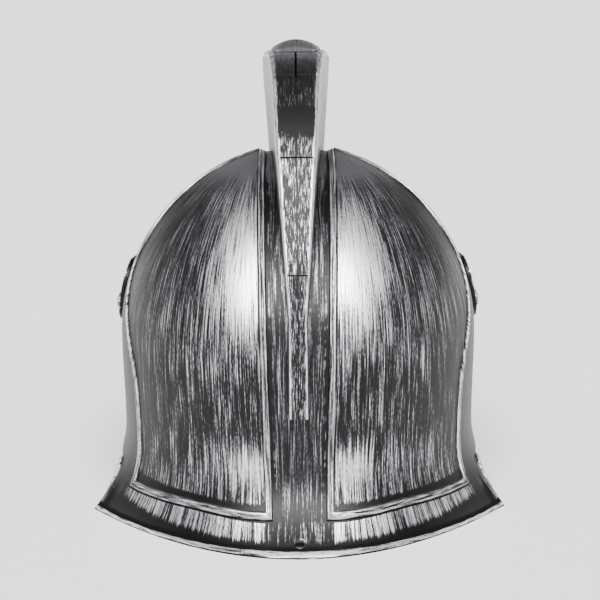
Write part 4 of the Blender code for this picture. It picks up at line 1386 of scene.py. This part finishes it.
@dataclass(frozen=True)
class Rosettes:
    """The two petalled temple rosettes that hold the face plate."""

    skin: BowlSkin
    height: float = 0.110
    radius: float = 0.005
    rise: float = 0.0024
    inset: float = 0.007
    stem_radius: float = 0.0018
    stem_clearance: float = 0.0005
    tail_radius: float = 0.0042
    tail_thickness: float = 0.0012
    tail_clearance: float = 0.0006
    plate_seat: float = 0.003
    bowl_wall: float = 0.002
    azimuth: float = 90.0
    petals: int = 8
    boss: float = 0.32
    sharp_angle: float = 40.0

    def seat(self, side: Side) -> tuple[Vector, Vector]:
        """Point of the bowl's skin under a rosette and its axis, before the shift to the frame."""
        azimuth = self.azimuth + math.degrees(self.inset / self.skin.half_width)
        spot = self.skin.spot(Place(Section.ROUND, 0.0, azimuth), self.height)
        flip = Vector((side.value, 1, 1))
        return spot.point * flip, spot.normal * flip

    def drill_seats(self, piece: bpy.types.Object, wall: float) -> None:
        """Cuts the holes for both stems through a piece with a wall of this thickness."""
        for side in Side:
            drill(piece, *self.seat(side), self.stem_radius + self.stem_clearance, 6 * wall)

    def face(self, share: float, turn: float) -> float:
        """Rise of the rosette's face at a share of its radius and a turn, as a share of its own."""
        dome = math.sqrt(max(1 - 0.9 * share * share, 0.0))
        if share < self.boss:
            return dome * (0.86 + 0.14 * math.sqrt(max(1 - (share / self.boss) ** 2, 0.0)))
        petal = abs(math.cos(self.petals / 2 * turn)) ** 0.6
        valley = 0.72 + 0.24 * petal
        return dome * mix(valley, 0.78, past(share, 0.88, 0.12)) * mix(0.80, 1.0, (share - self.boss) / 0.1)

    def build(self, side: Side) -> bpy.types.Object:
        """Builds one rosette with its stem and tail.

        Args:
            side: The wearer's side that it sits on.

        Returns:
            The dressed piece.
        """
        mesh = bmesh.new()
        brush = mesh.verts.layers.float_vector.new("brush")
        silver = mesh.verts.layers.float.new("silver")
        even = mesh.verts.layers.float.new("even")
        tail = -self.bowl_wall - self.tail_clearance
        rings = 18
        outline = [(self.radius * ring / rings, self.plate_seat + self.rise) for ring in range(rings + 1)]
        outline += [
            (self.radius, self.plate_seat), (self.stem_radius, self.plate_seat),
            (self.stem_radius, tail), (self.tail_radius, tail),
            (self.tail_radius, tail - self.tail_thickness), (0.0, tail - self.tail_thickness),
        ]
        corners = [mesh.verts.new((radius, 0, reach)) for radius, reach in outline]
        for first, last in zip(corners, corners[1:]):
            mesh.edges.new((first, last))
        bmesh.ops.spin(
            mesh, geom=mesh.verts[:] + mesh.edges[:], cent=(0, 0, 0), axis=(0, 0, 1),
            angle=FULL_TURN, steps=64, use_merge=True,
        )
        bmesh.ops.remove_doubles(mesh, verts=mesh.verts, dist=MERGE)
        for vert in mesh.verts:
            share = min(math.hypot(vert.co.x, vert.co.y) / self.radius, 1.0)
            turn = math.atan2(vert.co.y, vert.co.x)
            rise = self.face(share, turn)
            vert[brush] = Vector((turn * self.radius, share * self.radius, 13.0 + side.value))
            vert[silver], vert[even] = mix(-0.3, 0.5, (rise - 0.5 * (1 - share)) * 1.6), 0.3
            if vert.co.z > self.plate_seat + self.rise / 2:
                vert.co.z = self.plate_seat + self.rise * rise
            elif vert.co.z < self.plate_seat:
                vert[silver], vert[even] = BARE
        point, axis = self.seat(side)
        turn_to = axis.to_track_quat("Z", "Y").to_matrix().to_4x4()
        place = Matrix.Translation(point + frame_shift())
        bmesh.ops.transform(mesh, matrix=place @ turn_to, verts=mesh.verts)
        bmesh.ops.recalc_face_normals(mesh, faces=mesh.faces)
        piece = new_piece(f"temple_rosette_{side.word}_petalled", mesh, self.sharp_angle)
        return dress(piece, f"temple_rosette_{side.word}", ROSETTE_FINISH)


@dataclass(frozen=True)
class Studio:
    """Pale floor, soft light and the camera at the photograph's angle."""

    aim_height: float = 0.096
    distance: float = 1.0
    elevation: float = 11.0
    roll: float = 0.5
    focal_length: float = 101.2
    shift_right: float = 0.0033
    shift_up: float = 0.0417
    floor_radius: float = 300.0
    floor_colour: str = "#f2f2f2"
    world_colour: str = "#ffffff"
    world_strength: float = 0.25
    horizon_strength: float = 2.2
    box_strength: float = 9.5
    box_elevation: float = 46.0
    box_spread: float = 40.0

    def floor(self) -> None:
        """Makes the floor, a wide disc that fills the view."""
        mesh = bmesh.new()
        bmesh.ops.create_circle(mesh, cap_ends=True, segments=96, radius=self.floor_radius)
        piece = new_piece("floor", mesh)
        made = bpy.data.materials.new("matte_paper_floor")
        made.use_nodes = True
        shader = made.node_tree.nodes["Principled BSDF"]
        shader.inputs["Base Color"].default_value = srgb(self.floor_colour)
        shader.inputs["Roughness"].default_value = 0.9
        piece.data.materials.append(made)

    def light(self) -> None:
        """Makes the surrounding light, brightest at the horizon, and one broad soft box over the camera."""
        world = bpy.context.scene.world or bpy.data.worlds.new("studio")
        bpy.context.scene.world = world
        world.use_nodes = True
        tree = world.node_tree
        back = tree.nodes["Background"]
        back.inputs["Color"].default_value = srgb(self.world_colour)
        toward = add_node(tree, "ShaderNodeTexCoord").outputs["Generated"]
        up = add_node(tree, "ShaderNodeSeparateXYZ", {"Vector": toward}).outputs["Z"]
        strength = add_node(tree, "ShaderNodeMapRange", {
            "Value": up, "From Min": 0.05, "From Max": 0.22,
            "To Min": self.horizon_strength, "To Max": self.world_strength,
        }).outputs[0]
        tree.links.new(strength, back.inputs["Strength"])
        data = bpy.data.lights.new("soft_box_over_camera", "SUN")
        data.energy, data.angle = self.box_strength, math.radians(self.box_spread)
        box = bpy.data.objects.new("soft_box_over_camera", data)
        climb = math.radians(self.box_elevation)
        toward = Vector((0, math.cos(climb), math.sin(climb)))
        box.rotation_euler = toward.to_track_quat("Z", "Y").to_euler()
        bpy.context.scene.collection.objects.link(box)

    def camera(self) -> None:
        """Makes the camera at the photograph's angle to the helmet."""
        data = bpy.data.cameras.new("camera")
        data.lens, data.sensor_width = self.focal_length, 36.0
        data.shift_x, data.shift_y = self.shift_right, self.shift_up
        data.clip_end = 4 * self.floor_radius
        camera = bpy.data.objects.new("camera", data)
        climb = math.radians(self.elevation)
        back = Vector((0, math.cos(climb), math.sin(climb)))
        aim = Vector((0, 0, self.aim_height)) + frame_shift()
        facing = back.to_track_quat("Z", "Y").to_matrix().to_4x4()
        lean = Matrix.Rotation(math.radians(-self.roll), 4, "Z")
        camera.matrix_world = Matrix.Translation(aim + back * self.distance) @ facing @ lean
        bpy.context.scene.collection.objects.link(camera)
        bpy.context.scene.camera = camera


def main() -> None:
    """Builds the helmet and its studio, and reports each piece."""
    logging.basicConfig(level=logging.INFO, format="%(name)s: %(message)s")
    skin = BowlSkin()
    crest, rosettes = Crest(skin), Rosettes(skin)
    pieces = [Bowl(skin).build(rosettes), FacePlate(FaceSkin()).build(rosettes)]
    pieces += [crest.half(side) for side in Side] + [crest.cap()]
    pieces += [rosettes.build(side) for side in Side]
    for piece in pieces:
        piece.data.calc_loop_triangles()
        LOG.info("%s: %d triangles", piece.name, len(piece.data.loop_triangles))
    studio = Studio()
    studio.floor()
    studio.light()
    studio.camera()


if __name__ == "__main__":
    main()
